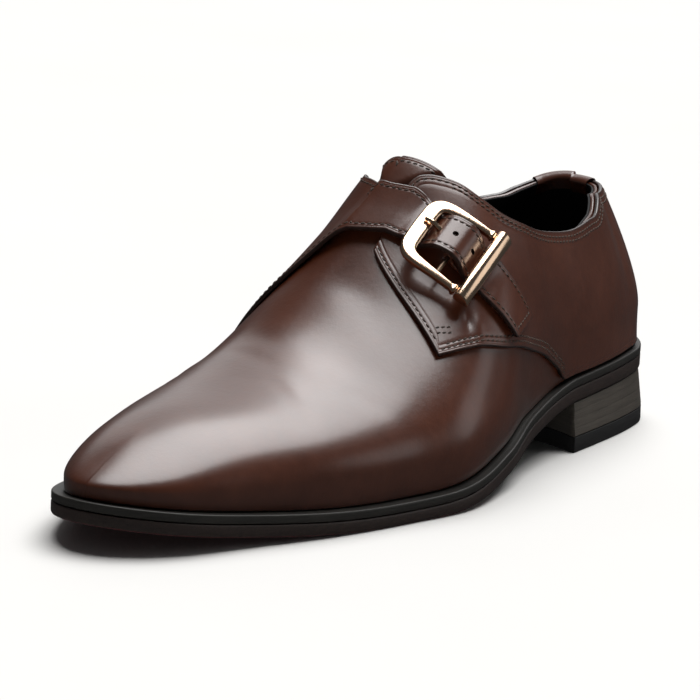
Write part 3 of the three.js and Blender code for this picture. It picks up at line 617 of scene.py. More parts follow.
def edge_steps(thick, rows_of_thread):
    """Distance from the cut edge and height, going up the side and inwards."""
    side = [(0.22, 0.0), (0.06, 0.18), (0.0, 0.42)]
    over = [
        (EDGE_ROUND * (1 - math.cos(a)), thick - EDGE_ROUND * (1 - math.sin(a)))
        for a in np.radians([0, 22, 45, 68, 90])
    ]
    crease = [(0.95, thick), (1.1, thick - 0.05), (1.25, thick)]
    channel = []
    for k in range(rows_of_thread):
        at = SEAM_IN + k * SEAM_STEP
        channel += [(at + d, thick - deep) for d, deep in THREAD_CHANNEL]
    return side + over + crease + channel


def measure_rows(place, rows):
    """Each row's length, and how slantwise it meets the first and the second edge."""
    def line(g):
        return place(rows, np.full(len(rows), g), 0.5)

    first, second = line(0.0), line(1.0)
    width = np.linalg.norm(second - first, axis=1)
    slants = []
    for edge, near in ((first, line(0.06)), (second, line(0.94))):
        along = unit(np.gradient(edge, axis=0))
        into = unit(near - edge)
        slants.append(np.clip(np.linalg.norm(np.cross(along, into), axis=1), 0.35, 1))
    return width, slants


def strip_of_leather(name, place, rows, thick, threads=(1, 1), middle=26, close=0):
    """threads: rows of stitching beside the first and second edge; close: rows drawn in at the end."""
    width, (slant_a, slant_b) = measure_rows(place, rows)
    steps_a, steps_b = (np.array(edge_steps(thick, k)) for k in threads)
    wanted = np.maximum(steps_a[-1, 0] / slant_a, steps_b[-1, 0] / slant_b)
    spare = np.clip(0.46 * width / wanted, 0, 1)
    ga = steps_a[:, 0] * (spare / slant_a / width)[:, None]
    gb = 1 - steps_b[::-1, 0] * (spare / slant_b / width)[:, None]
    inner = mix(ga[:, -1:], gb[:, :1], np.linspace(0, 1, middle)[1:-1])
    under = mix(gb[:, -1:], ga[:, :1], np.linspace(0, 1, 9)[1:-1])
    g = np.concatenate([ga, inner, gb, under], 1)
    h = np.concatenate([steps_a[:, 1], np.full(middle - 2, thick), steps_b[::-1, 1], np.zeros(7)])
    h = np.broadcast_to(h, g.shape).copy()
    if close:
        turn = np.linspace(0, np.pi / 2, close)
        drawn = EDGE_ROUND * (1 - np.cos(turn))
        h[-close:] = drawn[:, None] + h[-close:] * (1 - 2 * drawn[:, None] / thick)
        share = drawn / width[-close:]
        g[-close:] = share[:, None] + g[-close:] * (1 - 2 * share[:, None])
    points = place(rows[:, None], g, h)
    far = np.minimum(g * (width * slant_a)[:, None], (1 - g) * (width * slant_b)[:, None])
    if close:
        far = np.minimum(far, np.linalg.norm(points[-1:] - points, axis=2))
    return joined(name, tube(points), marks={"edge": far})


print("edge section has", len(edge_steps(1.4, 1)), "points a side")

# %% [markdown]
# ## The outer quarter
#
# The quarter wraps from the back seam to the instep. Its ribs run from the topline down to the lower
# edge, and at the front they fan round a crisp corner. The table gives both ends of each rib. The lower
# edge is drawn as two curves that meet at the corner, so the corner stays sharp.

# %% Outer quarter
OVERLAY, OVERLAY_LIFT = 1.4, 0.5
CORNER_RIB = 12
OUTER_RIBS = [
    [0, 0.0005, 0.36, 0.0005, 0.98], [1, 12, 0.355, 12, 0.98], [2, 35, 0.38, 32, 0.98],
    [3, 55, 0.491, 52, 0.98], [4, 78, 0.528, 72, 0.975], [5, 92, 0.519, 86, 0.965],
    [6, 102, 0.507, 94, 0.89], [7, 112, 0.475, 105, 0.82], [8, 120, 0.42, 122, 0.75],
    [9, 126, 0.335, 144, 0.645], [10, 129.5, 0.26, 160, 0.54], [11, 132.3, 0.2, 171, 0.477],
    [12, 134.5, 0.15, 175, 0.455], [13, 136.7, 0.115, 173, 0.39], [14, 139.3, 0.098, 167, 0.22],
    [15, 142, 0.092, 160, 0.1],
]
INNER_RIBS = [
    [0, 0.0005, -0.36, 0.0005, -0.98], [1, 10, -0.376, 12, -0.98], [2, 22, -0.403, 32, -0.98],
    [3, 42, -0.472, 52, -0.975], [4, 66, -0.54, 72, -0.965], [5, 88, -0.523, 86, -0.955],
    [6, 102, -0.505, 94, -0.89], [7, 112, -0.475, 105, -0.82], [8, 120, -0.42, 122, -0.75],
    [9, 126, -0.345, 144, -0.66], [10, 129.5, -0.29, 156, -0.61], [11, 132, -0.25, 166, -0.57],
    [12, 134, -0.215, 170.5, -0.54], [13, 136, -0.18, 168.5, -0.41], [14, 138.3, -0.12, 165.5, -0.29],
    [15, 140.2, -0.05, 161.5, -0.185], [16, 141.2, 0.0, 158.5, -0.11], [17, 141.4, 0.05, 155.5, -0.02],
]


def ribs(rows):
    """Curves for the top end (tu, tw) and the bottom end (bu, bw) of the ribs."""
    rows = np.array(rows)
    rows[:, 1], rows[:, 3] = u_at(rows[:, 1]), u_at(rows[:, 3])
    whole, behind, ahead = (
        table("rib tu tw bu bw", part) for part in (rows, rows[: CORNER_RIB + 1], rows[CORNER_RIB:])
    )

    def sharp(key):
        return lambda r: np.where(r <= CORNER_RIB, behind[key](r), ahead[key](r))

    return {**whole, "bu": sharp("bu"), "bw": sharp("bw")}


def on_quarter(table_of_ribs, lift):
    def place(r, g, h):
        u = mix(table_of_ribs["tu"](r), table_of_ribs["bu"](r), g)
        w = mix(table_of_ribs["tw"](r), table_of_ribs["bw"](r), g)
        seam = 0.7 * np.exp(-((r * 30) / 0.7) ** 2)  # the two quarters are closed together at the back
        return skin(s_at(u), w, lift + h - seam)

    return place


outer_ribs, inner_ribs = ribs(OUTER_RIBS), ribs(INNER_RIBS)
outer_place = on_quarter(outer_ribs, OVERLAY_LIFT)
BACK_ROWS = [0, 0.008, 0.016, 0.024, 0.034, 0.05, 0.08]


def rib_rows(last, behind, ahead):
    """Rows from the back seam to the last rib, closer together at the seam and at the corner."""
    return np.concatenate([
        BACK_ROWS, np.linspace(0.12, 11.6, behind), np.linspace(11.66, 12, 8), np.linspace(12.06, last, ahead),
    ])


outer_quarter = strip_of_leather(
    "outer_quarter_leather", outer_place, rib_rows(15, 210, 52), OVERLAY, (2, 2), middle=44
)

# %% [markdown]
# ## The strap
#
# The inner quarter turns into the strap at the instep. The strap dips under the buckle's frame, bows up
# over its pin, dips again under the end bar and comes to rest on the quarter. The folds are a table of
# heights over the buckle's plane; where the strap rests, its height is the leather under it. The buckle
# has its own axes: a along the strap, b across it, h up.

# %% The buckle's axes and the strap's folds
STRAP = 1.8
BUCKLE_AT = np.array([151.74, 27.28, 80.74])
ALONG = unit(np.array([-0.311, 0.7984, -0.5155]))
rough_up = np.array([0.4278, 0.602, 0.6743])
UPWARD = unit(rough_up - ALONG * (rough_up @ ALONG))
ACROSS = np.cross(UPWARD, ALONG)
BUCKLE_SAG = 200  # the buckle bends to the foot: its drop is a * a / BUCKLE_SAG


def at_buckle(a, b, h):
    a, b, h = (np.asarray(v, float)[..., None] for v in (a, b, h))
    return BUCKLE_AT + a * ALONG + b * ACROSS + h * UPWARD


def leather_under(a, b):
    """Height of the upper under a place of the buckle's plane, closing in by a few steps."""
    a, b = np.broadcast_arrays(np.asarray(a, float), np.asarray(b, float))
    goal = at_buckle(a, b, np.zeros_like(a))
    s, w = 148.4 - 0.2 * a - 0.8 * b, 0.32 + 0.01 * a
    for _ in range(7):
        p = last_point(u_at(s), w)
        miss = p - goal
        ds = (last_point(u_at(s + 0.05), w) - p) * 20
        dw = (last_point(u_at(s), w + 0.001) - p) * 1000
        across_w, across_s = np.cross(dw, UPWARD), np.cross(ds, UPWARD)
        det = np.sum(ds * across_w, -1)
        s = s - np.clip(np.sum(miss * across_w, -1) / det, -8, 8)
        w = np.clip(w + np.clip(np.sum(miss * across_s, -1) / det, -0.08, 0.08), -0.3, 0.9)
        height = miss @ UPWARD
    return height


FOLD_ROWS = [
    [-22, 5.9, 9.4, 0, -7, 0.1, 4.4], [-18.5, 5.4, 9.3, 0.2, -5.6, 0.1, 4.1],
    [-15, 4.6, 8.9, 1, -4.4, 0.09, 3.5], [-12.5, 3.7, 8.4, 1, -3.8, 0.07, 3.5],
    [-10.3, 3.0, 8.1, 1, -3.2, 0.04, 3.5], [-9, 2.7, 7.9, 1, -2.9, 0.02, 3.5],
    [-7.6, 2.6, 7.9, 1, -0.9, 0, 3.5], [-5, 2.5, 7.9, 1, 1.7, 0, 3.5], [-2.3, 2.4, 7.9, 1, 2.8, 0, 3.5],
    [0.5, 2.4, 7.9, 1, 3.1, 0, 3.5], [3, 2.3, 7.9, 1, 2.5, 0, 3.5], [5.5, 2.2, 7.9, 1, 0.5, 0, 3.5],
    [8, 2.2, 8.0, 1, -2.3, 0, 3.5], [10, 2.1, 8.1, 1, -3.15, 0, 3.5], [12, 2.1, 8.2, 1, -3.3, -0.02, 3.5],
    [14.5, 2.0, 8.3, 0.8, -3.7, -0.05, 3.3], [17.5, 2.0, 8.4, 0.3, -4.9, -0.08, 3.4],
    [21, 1.9, 8.5, 0, -6, -0.1, 3.7], [26, 1.8, 8.5, 0, -6, -0.1, 4.1], [30, 1.7, 8.6, 0, -6, -0.1, 4.4],
    [34.6, 1.6, 8.6, 0, -6, -0.1, 4.9],
]
FOLD = table("a middle half free h tilt lift", FOLD_ROWS)
STRAP_START, STRAP_END = FOLD_ROWS[0][0], FOLD_ROWS[-1][0]


def strap_level(a, b):
    a, b = np.broadcast_arrays(np.asarray(a, float), np.asarray(b, float))
    free = FOLD["free"](a)
    held = FOLD["h"](a) + FOLD["tilt"](a) * (b - FOLD["middle"](a))
    rests = free < 1
    resting = np.zeros(a.shape)
    if np.any(rests):
        resting[rests] = leather_under(a[rests], b[rests]) + FOLD["lift"](a[rests])
    return mix(resting, held, free)


def on_strap(a, g, h):
    b = FOLD["middle"](a) + mix(1, -1, g) * FOLD["half"](a)
    slope = (strap_level(a + 0.1, b) - strap_level(a - 0.1, b)) / 0.2
    k = (h - STRAP / 2) / np.hypot(1, slope)
    return at_buckle(a - slope * k, b, strap_level(a, b) + k)


folds = strap_level(np.linspace(STRAP_START, STRAP_END, 60), 8.0)
print("the strap runs from", round(folds.min(), 1), "to", round(folds.max(), 1), "mm by the buckle's plane")

# %% [markdown]
# ### Quarter and strap in one piece
#
# The strap isn't sewn on: it is cut from the same leather as the inner quarter. One run of ribs therefore
# goes on into the strap's stations, and its height ramps up where it climbs on the outer quarter.

# %% Inner quarter with its strap
STRAP_FROM = 1000  # ribs above this are strap stations
STRAP_CLIMBS = 2.6  # its height over the upper where it crosses the outer quarter


def inner_place(r, g, h):
    r, g, h = np.broadcast_arrays(np.asarray(r, float), g, h)
    over = np.clip((r - 13.5) / 3, 0, 1) ** 2
    thick = mix(OVERLAY, STRAP, over)
    high = mix(OVERLAY_LIFT, STRAP_CLIMBS, over) + h * thick / STRAP
    quarter = on_quarter(inner_ribs, 0)(np.minimum(r, INNER_RIBS[-1][0]), g, high)
    on = r >= STRAP_FROM + STRAP_START
    if np.any(on):
        quarter[on] = on_strap(r[on] - STRAP_FROM, g[on], h[on])
    return quarter


tail = STRAP_END - EDGE_ROUND * (1 - np.sin(np.linspace(0, np.pi / 2, 5)))
tail[-1] = STRAP_END
strap_rows = np.concatenate([
    np.linspace(STRAP_START, -11, 18), np.linspace(-10.6, 12, 62), np.linspace(12.5, STRAP_END - 0.8, 34), tail,
])
inner_rows = np.concatenate([rib_rows(17, 190, 60), strap_rows + STRAP_FROM])
inner_strap = strip_of_leather(
    "inner_quarter_and_strap", inner_place, inner_rows, STRAP, (1, 1), middle=34, close=len(tail)
)

# %% [markdown]
# ## Holes in the strap
#
# A maker drives a round punch through the finished strap. The same is done here: a short rod stands where
# each hole goes, and a Boolean modifier takes all the rods away from the strap at once, which leaves true
# round holes with crisp rims. Rings woven into the strap's grid would bend every row round them. The
# result is read back as a plain mesh, so nothing later depends on the rods, which are then removed.

# %% Punch the strap's holes
HOLE_AT_B = 2.6
HOLES = [(-1.9, 1.05), (6.1, 0.85)]  # place along the strap, and radius
HOLE_SIDES = 28


def punch(piece, holes):
    work = bmesh.new()
    for a, radius in holes:
        level = float(strap_level(np.array([a]), np.array([HOLE_AT_B]))[0])
        turn = np.linspace(0, 2 * np.pi, HOLE_SIDES, endpoint=False)
        aa, bb = a + radius * np.cos(turn), HOLE_AT_B + radius * np.sin(turn)
        rings = [in_metres(at_buckle(aa, bb, level + h)) for h in (-2.5, 2.5)]
        low, high = ([work.verts.new(p) for p in ring] for ring in rings)
        for i in range(HOLE_SIDES):
            k = (i + 1) % HOLE_SIDES
            work.faces.new([low[i], low[k], high[k], high[i]])
        work.faces.new(low[::-1])
        work.faces.new(high)
    bmesh.ops.recalc_face_normals(work, faces=work.faces)
    mesh = bpy.data.meshes.new("punch")
    work.to_mesh(mesh)
    work.free()
    tool = bpy.data.objects.new("punch", mesh)
    bpy.context.scene.collection.objects.link(tool)
    cut = piece.modifiers.new("punched", "BOOLEAN")
    cut.operation, cut.solver, cut.object = "DIFFERENCE", "EXACT", tool
    bpy.context.view_layer.update()
    made = bpy.data.meshes.new_from_object(piece.evaluated_get(bpy.context.evaluated_depsgraph_get()))
    piece.modifiers.clear()
    piece.data = made
    bpy.data.objects.remove(tool)
    piece.data.shade_smooth()
    sharpen(piece, 50)


before = len(inner_strap.data.vertices)
punch(inner_strap, HOLES)
print("punching added", len(inner_strap.data.vertices) - before, "points")

# %% [markdown]
# ## The tongue
#
# The tongue lies under the throat and fills the gap above it. Its root is sewn under the vamp, and where it
# shows it comes up almost flush with the leather round it, because a foot-shaped padding holds it there.

# %% Tongue
TONGUE, TONGUE_HALF = 1.8, 0.34
TONGUE_EDGE = table("w top root", [[0, 131.5, 172], [0.16, 130, 171], [0.25, 128.5, 168], [0.34, 125.5, 164]])


def tongue_place(r, g, h):
    w = mix(-TONGUE_HALF, TONGUE_HALF, r) * mix(1, 0.72, g)  # a little narrower at its root
    s = mix(TONGUE_EDGE["top"](np.abs(w)), TONGUE_EDGE["root"](np.abs(w)), g)
    edge = topline(s, w)
    clear = np.clip((edge - np.abs(w) - 0.06) / 0.07, 0, 1) ** 1.5
    far = -(WALL + 2 * OVERLAY_LIFT) * (1 - 0.75 * clear)
    return skin(s, w, far - TONGUE + h, creased=False)


tongue = strip_of_leather("tongue_leather", tongue_place, np.linspace(0, 1, 90), TONGUE, (1, 0), middle=40)

# %% [markdown]
# ## The strip over the back of the collar
#
# The collar takes the most pulling, so a thin folded strip of calf is sewn over its back. It goes up the
# outside, over the rolled edge and a little way down inside, and ends in a small tab on the back seam.

# %% Collar strip
STRIP_THICK = 0.3
STRIP_FROM, STRIP_TO = 12.0, 3.6  # along the inner and the outer topline


def collar_strip():
    first, last = -float(u_at(STRIP_FROM)), float(u_at(STRIP_TO))
    u = np.concatenate([np.linspace(first, 0, 44), np.linspace(0, last, 22)[1:]])
    side = np.where(u > 0, 1.0, -1.0)
    s = s_at(np.abs(u))
    w = side * topline(s, side)
    n = last_normal(np.abs(u), w)
    at_edge = skin(s, w, 0.0, creased=False)
    up = unit(skin(s, w - side * 0.01, creased=False) - skin(s, w + side * 0.01, creased=False))
    deep = 4.6 + 6.5 * np.exp(-((u * 95 - 0.6) / 4.2) ** 2)  # the tab on the back seam
    outer_lift, inner_lift = OVERLAY_LIFT + OVERLAY + 0.03, -WALL - 0.1
    centre, half = (outer_lift + inner_lift) / 2, (outer_lift - inner_lift) / 2
    rings = []
    for grow in (0.0, STRIP_THICK):
        outside = at_edge + n * (outer_lift + grow)
        ring = [outside - up * (y * deep)[:, None] for y in (1.0, 0.8, 0.5, 0.2, 0.02)]
        for turn in np.radians(np.linspace(8, 172, 13)):
            x, y = centre + half * math.cos(turn), 1.15 * math.sin(turn)
            sideways = n * (x + grow * (x - centre) / half)
            ring.append(at_edge + sideways + up * (y + grow * max(math.sin(turn), 0.2)))
        ring += [at_edge + n * (inner_lift - grow) - up * (y * 4.2) for y in (0.2, 0.8, 1.0)]
        rings.append(np.stack(ring, 1))
    return joined("collar_strip", tube(np.concatenate([rings[1], rings[0][:, ::-1]], 1)))


strip = collar_strip()
sharpen(strip, 55)
print("collar strip is", round(1000 * strip.dimensions.x, 1), "mm across")

# %% [markdown]
# ## Stitching
#
# Every row is real thread: short bent lengths that dive into the leather at both ends. Drawing them in
# a texture would slide and blur, so each stitch is a small tube, all of them in one mesh per piece.
# A row is given as a line on the leather, a fixed distance inside the cut edge.

# %% Thread laid along a line
THREAD, STITCH = 0.27, 2.3  # the thread's radius, and the length of a stitch
THREAD_SIDES = 6


def seam_line(place, rows, edge, inside, thick):
    """A line inside edge 0 or 1 of a strip of leather: points and the way out of the leather."""
    width, slants = measure_rows(place, rows)
    g = np.clip(inside / slants[edge] / width, 0, 0.5)
    g = 1 - g if edge else g
    at = place(rows, g, np.full(len(rows), thick - 0.1))
    return at, unit(place(rows, g, np.full(len(rows), thick + 0.5)) - at)


def stitches(line, pitch=STITCH, radius=THREAD):
    at, out = line
    run = np.concatenate([[0], np.cumsum(np.linalg.norm(np.diff(at, axis=0), axis=1))])
    count = max(int(run[-1] / pitch), 1)
    pitch = run[-1] / count
    share = np.array([0.08, 0.2, 0.36, 0.64, 0.8, 0.92])
    where = ((np.arange(count)[:, None] + share) * pitch).ravel()

    def pick(v):
        return np.stack([np.interp(where, run, v[:, k]) for k in range(3)], -1).reshape(count, len(share), 3)

    p, n = pick(at), unit(pick(out))
    along = unit(np.gradient(p, axis=1))
    aside = np.cross(n, along)
    rise = np.array([-0.34, 0.02, 0.16, 0.16, 0.02, -0.34])
    slant = (share - 0.5) * 0.16 * pitch
    p = p + n * rise[:, None] + aside * slant[:, None]
    turn = np.linspace(0, 2 * np.pi, THREAD_SIDES + 1)[:-1]
    thickness = radius * np.array([0.7, 1, 1.08, 1.08, 1, 0.7])
    ring = (
        p[:, :, None]
        + aside[:, :, None] * (np.cos(turn)[:, None] * thickness[:, None, None])
        + n[:, :, None] * (np.sin(turn)[:, None] * 0.8 * thickness[:, None, None])
    )
    points, one = ring.reshape(-1, 3), tube(ring[0])[1]
    step = len(share) * THREAD_SIDES
    return points, [[i + k * step for i in face] for k in range(count) for face in one]


def sew(name, *rows_of_stitches):
    piece = joined(name, *rows_of_stitches)
    print(f"{name}: {len(piece.data.polygons) // 32} stitches")
    return piece


def on_skin(s, w, lift):
    return skin(s, w, lift), last_normal(u_at(s), w)


# %% [markdown]
# ## Where the rows run
#
# Two close rows hold each quarter's lower edge down and two more follow the topline. Past the corner one
# row is enough. The strap has a row all round, close to its edge, and two short tacks
# of shorter stitches hold the outer quarter's point, where walking pulls hardest. Every row is measured in
# from the cut edge, so it follows the edge wherever a table above is changed.

# %% The rows on the quarters
TOP_SEAM_IN = SEAM_IN - 0.3  # the rows along the topline lie a little nearer the edge
TOP_ROWS_END = 10.6  # they stop at this rib, and one row goes on
LOW_ROWS_START = 5.35  # the rib where the lower edge leaves the welt


def quarter_rows(place, thick, last_rib):
    low = []
    for k in (0, 1):
        ribs = np.linspace(LOW_ROWS_START, CORNER_RIB - 0.28 - 0.42 * k, 260)
        low.append(seam_line(place, ribs, 1, SEAM_IN + k * SEAM_STEP, thick))
    front = seam_line(place, np.linspace(CORNER_RIB + 0.42, last_rib, 120), 1, SEAM_IN, thick)
    top = [
        seam_line(place, np.linspace(0.06, TOP_ROWS_END, 330), 0, TOP_SEAM_IN + k * 1.5, thick)
        for k in (0, 1)
    ]
    return low, front, top


BAR_TACKS = [  # from and to, in (s, w): two short rows that hold the quarter's point down
    [(169.0, 0.392), (164.2, 0.435)], [(170.0, 0.405), (165.2, 0.448)],
]
tacks = [
    on_skin(np.linspace(a[0], b[0], 24), np.linspace(a[1], b[1], 24), OVERLAY_LIFT + OVERLAY - 0.02)
    for a, b in BAR_TACKS
]
low, front, top = quarter_rows(outer_place, OVERLAY, 14.9)
to_front = seam_line(outer_place, np.linspace(TOP_ROWS_END, 14.9, 60), 0, TOP_SEAM_IN, OVERLAY)
outer_thread = sew(
    "thread_outer_quarter",
    *(stitches(line) for line in (*low, front, *top, to_front)),
    *(stitches(line, 1.9) for line in tacks),
)


def strap_side(edge):
    first = TOP_ROWS_END if edge == 0 else CORNER_RIB + 0.42
    on_the_strap = np.linspace(STRAP_START, STRAP_END - SEAM_IN - 0.6, 180)
    rows = np.concatenate([np.linspace(first, 17, 90), STRAP_FROM + on_the_strap])
    return seam_line(inner_place, rows, edge, SEAM_IN, STRAP)


def strap_end(h, count=30):
    return on_strap(np.full(count, STRAP_END - SEAM_IN), np.linspace(0.125, 0.875, count), np.full(count, h))


low, front, top = quarter_rows(inner_place, STRAP, 16.9)
end_at = strap_end(STRAP - 0.1)
inner_thread = sew("thread_strap", *(
    stitches(line)
    for line in (*low, *top, strap_side(0), strap_side(1), (end_at, unit(strap_end(STRAP + 0.5) - end_at)))
))
tongue_row = seam_line(tongue_place, np.linspace(0.06, 0.94, 120), 0, SEAM_IN + 0.6, TONGUE)
tongue_thread = sew("thread_tongue", stitches(tongue_row))

# %% [markdown]
# ## The buckle
#
# A cast and polished frame: one rod, broad at the closed end, that thins towards the end bar and enters it
# through small collars. The pin crosses it in the middle under the strap and carries the prong and
# a leather tab. The frame is a tube of soft rectangular sections along a table of the rod's path.

# %% Rods in the buckle's own axes
FRAME_ROWS = [
    [0, 9.1, 14.0, 1.25], [8, 1.2, 13.75, 1.5], [14.5, -5.3, 13.4, 1.95], [17.5, -8.3, 12.95, 2.2],
    [20, -10.7, 11.9, 2.5], [22, -12.0, 10.2, 2.7], [24.5, -12.6, 7.6, 2.85], [32.1, -12.8, 0, 2.85],
]
FRAME_PATH = table("l a b half", FRAME_ROWS)
FRAME_HALF_HEIGHT, HALF_ROUND = 1.3, 32.1
PIN_A, PIN_H, PIN_RADIUS, PRONG_B = 0.5, -0.15, 0.75, 2.6


def squared(angle, boxy):
    return np.sign(np.cos(angle)) * np.abs(np.cos(angle)) ** boxy


def frame_rings(count=150, sides=28):
    """Rings round the rod, from one end of the bar round the closed end to the other."""
    l = np.linspace(0, 2 * HALF_ROUND, count)
    near = np.minimum(l, 2 * HALF_ROUND - l)
    flip = np.where(l > HALF_ROUND, -1.0, 1.0)
    a, b = FRAME_PATH["a"](near), flip * FRAME_PATH["b"](near)
    da, db = np.gradient(a), np.gradient(b)
    k = np.hypot(da, db)
    out_a, out_b = -db / k, da / k
    collar = 0.75 * np.exp(-((near - 0.9) / 0.55) ** 2)
    half = FRAME_PATH["half"](near) + collar
    turn = np.linspace(0, 2 * np.pi, sides, endpoint=False)
    x = squared(turn, 0.5) * half[:, None]
    h = squared(turn - np.pi / 2, 0.6) * (FRAME_HALF_HEIGHT + 0.35 * collar[:, None])
    aa = a[:, None] + out_a[:, None] * x
    bb = b[:, None] + out_b[:, None] * x
    return at_buckle(aa, bb, h - aa ** 2 / BUCKLE_SAG)


BAR_SHAPE = np.array([
    [9.3, -1.7], [9.2, 0.4], [9.6, 1.9], [10.9, 2.65], [12.6, 2.25], [14.2, 1.1], [15.2, -0.5], [14.9, -1.7],
])


def softened(shape, times, keep=0.78):
    """Cuts the corners of a closed outline again and again."""
    for _ in range(times):
        after = np.roll(shape, -1, axis=0)
        near, far = keep * shape + (1 - keep) * after, (1 - keep) * shape + keep * after
        shape = np.stack([near, far], 1).reshape(-1, 2)
    return shape


def rod_across(shape, half, bevel, middle=(12.0, 0.4), b=0.0):
    """A section drawn in (a, h), run across the strap, with bevelled ends."""
    rings = []
    first = [(-half, 1 - bevel), (-half + 0.12, 1 - bevel / 3), (-half + 0.4, 1)]
    for at, size in first + [(-at, size) for at, size in first[::-1]]:
        drawn = (shape - middle) * size + middle
        rings.append(at_buckle(drawn[:, 0], np.full(len(shape), b + at), drawn[:, 1]))
    return tube(rings)


def circle(radius, a=PIN_A, h=PIN_H, sides=24):
    turn = np.linspace(0, 2 * np.pi, sides, endpoint=False)
    return np.stack([a + radius * np.cos(turn), h + radius * np.sin(turn)], -1)


PRONG_ROWS = table("a h radius", [
    [-13.35, 1.5, 0.25], [-13.2, 1.52, 0.62], [-12.7, 1.62, 0.76], [-11.6, 1.9, 0.8], [-10.4, 1.85, 0.85],
    [-7.4, 0.95, 0.9], [-1.2, -0.2, 0.95], [0.4, -0.25, 0.9],
])


def prong_rings():
    a = np.concatenate([np.linspace(-13.35, -12.7, 8), np.linspace(-12.5, 0.4, 40)])
    h, radius = PRONG_ROWS["h"](a), PRONG_ROWS["radius"](a)
    for groove in (-11.9, -11.2):  # two turned grooves near the tip
        radius = radius - 0.16 * np.exp(-((a - groove) / 0.16) ** 2)
    da, dh = np.gradient(a), np.gradient(h)
    k = np.hypot(da, dh)
    turn = np.linspace(0, 2 * np.pi, 18, endpoint=False)
    x = radius[:, None] * np.cos(turn)
    aa, hh = a[:, None] - (dh / k)[:, None] * x, h[:, None] + (da / k)[:, None] * x
    return at_buckle(aa, PRONG_B + radius[:, None] * np.sin(turn), hh)


buckle_frame = joined("buckle_frame_cast", tube(frame_rings()))
buckle_bar = joined("buckle_end_bar", rod_across(softened(BAR_SHAPE, 3), 16.4, 0.12))
sharpen(buckle_bar, 40)
buckle_pin = joined("buckle_pin_rod", rod_across(circle(PIN_RADIUS), 15.1, 0.25, (PIN_A, PIN_H)))
prong_eye = rod_across(circle(1.75), 1.1, 0.18, (PIN_A, PIN_H), PRONG_B)
buckle_prong = joined("buckle_prong_rod", tube(prong_rings()), prong_eye)
TAB_TAIL = np.array([
    [0.5, -2.2], [-1.2, -1.4], [-1.5, 0.2], [0.4, 1.9], [2.2, 0.6], [2.6, -1.2], [4.6, -2.2], [7.6, -3.2],
    [7.8, -4.0], [4.2, -3.6], [1.8, -3.1],
])
buckle_tab = joined("buckle_tab_leather", *(
    rod_across(softened(TAB_TAIL, 2), 2.7, 0.08, (PIN_A, PIN_H), PRONG_B + beside) for beside in (-4.3, 4.3)
))

# %% [markdown]
# ## Welt, sole and heel
#
# Seen from the side the sole is a sandwich: a black welt, a leather sole with a browner edge, and under the
# heel a stack of leather lifts on a rubber top lift. The edges are trimmed with a knife and waxed,
# so they are nearly square with just a broken corner. Each is a closed section run round the outline.

# %% Rings round the outline
def outline_stations(count):
    f = np.linspace(0, 1, count + 1)
    return np.concatenate([f, f[-2:0:-1]]), np.concatenate([np.ones(count + 1), -np.ones(count - 1)])


def ring_at(u, side, by, z):
    p = inset(u, side, by)
    return np.concatenate([p, z(p[:, 0])[:, None]], -1)


def welt_rings():
    u, side = outline_stations(STATIONS)
    inner = WELT_STANDS_OUT(s_at(u)) + WALL + 0.4
    under_upper = WELT_STANDS_OUT(s_at(u)) - 0.5
    steps = [  # inset from the sole's edge, and height from the welt's top
        (inner, 0), (under_upper, 0), (under_upper * 0.55 + 0.35, -0.02), (under_upper * 0.45 + 0.3, -0.1),
        (0.85, -0.02), (0.5, -0.01), (0.22, -0.1), (0.05, -0.32), (0.0, -0.6), (0.0, 0.5 - WELT),
        (0.12, 0.2 - WELT), (0.35, -WELT), (inner, -WELT),
    ]
    return np.stack([ring_at(u, side, by, lambda s, up=up: seat_z(s) + up) for by, up in steps], 1)


welt = joined("welt_strip", tube(welt_rings(), closed=True))
WAIST_LINE = table("c s", [  # where the forepart's leather begins, from the outer edge to the inner
    [-1, 155], [-0.56, 154.6], [-0.3, 148.6], [-0.13, 142.5], [-0.02, 148], [0.15, 158], [0.33, 165],
    [0.57, 169], [0.83, 172], [1, 172.7],
])["s"]


def outline_half(side_is_outer, s):
    return np.sqrt(np.where(side_is_outer, OUTLINE["outer"](s), OUTLINE["inner"](s)) + 1e-6)


def sole_body():
    f = np.linspace(0, 1, STATIONS + 1)
    us = np.concatenate([[0, 0.0015, 0.004, 0.008], f[3:-3], [0.992, 0.996, 0.9985, 1]])
    top = lambda s: seat_z(s) - WELT - GAP
    steps = [  # inset from the sole's edge, the face it is measured from, and height over that face
        (0.35, top, 0.0), (0.1, top, -0.25), (0.0, top, -0.6), (0.0, tread_z, 1.1), (0.1, tread_z, 0.6),
        (0.35, tread_z, 0.2), (0.8, tread_z, 0.0),
    ]
    outer, inner = (
        [ring_at(us, side * np.ones_like(us), by, lambda s, z=z, up=up: z(s) + up) for by, z, up in steps]
        for side in (1, -1)
    )
    under = [mix(outer[-1], inner[-1], c) for c in np.linspace(0, 1, 62)[1:-1]]
    cover = [mix(inner[0], outer[0], c) for c in np.linspace(0, 1, 12)[1:-1]]
    for p in under:
        share = (OUTLINE["middle"](p[:, 0]) - p[:, 1]) / outline_half(True, p[:, 0])
        from_line = p[:, 0] - WAIST_LINE(np.clip(share, -1, 1))
        p[:, 2] = tread_z(p[:, 0]) + 0.35 * np.exp(-(from_line / 0.9) ** 2)
    for p in cover:
        p[:, 2] = top(p[:, 0])
    rings = np.stack([*outer, *under, *inner[::-1], *cover], 1)
    s, t = rings[..., 0], rings[..., 1]
    share = (OUTLINE["middle"](s) - t) / outline_half(t > OUTLINE["middle"](s), s)
    return rings, s - WAIST_LINE(np.clip(share, -1, 1))


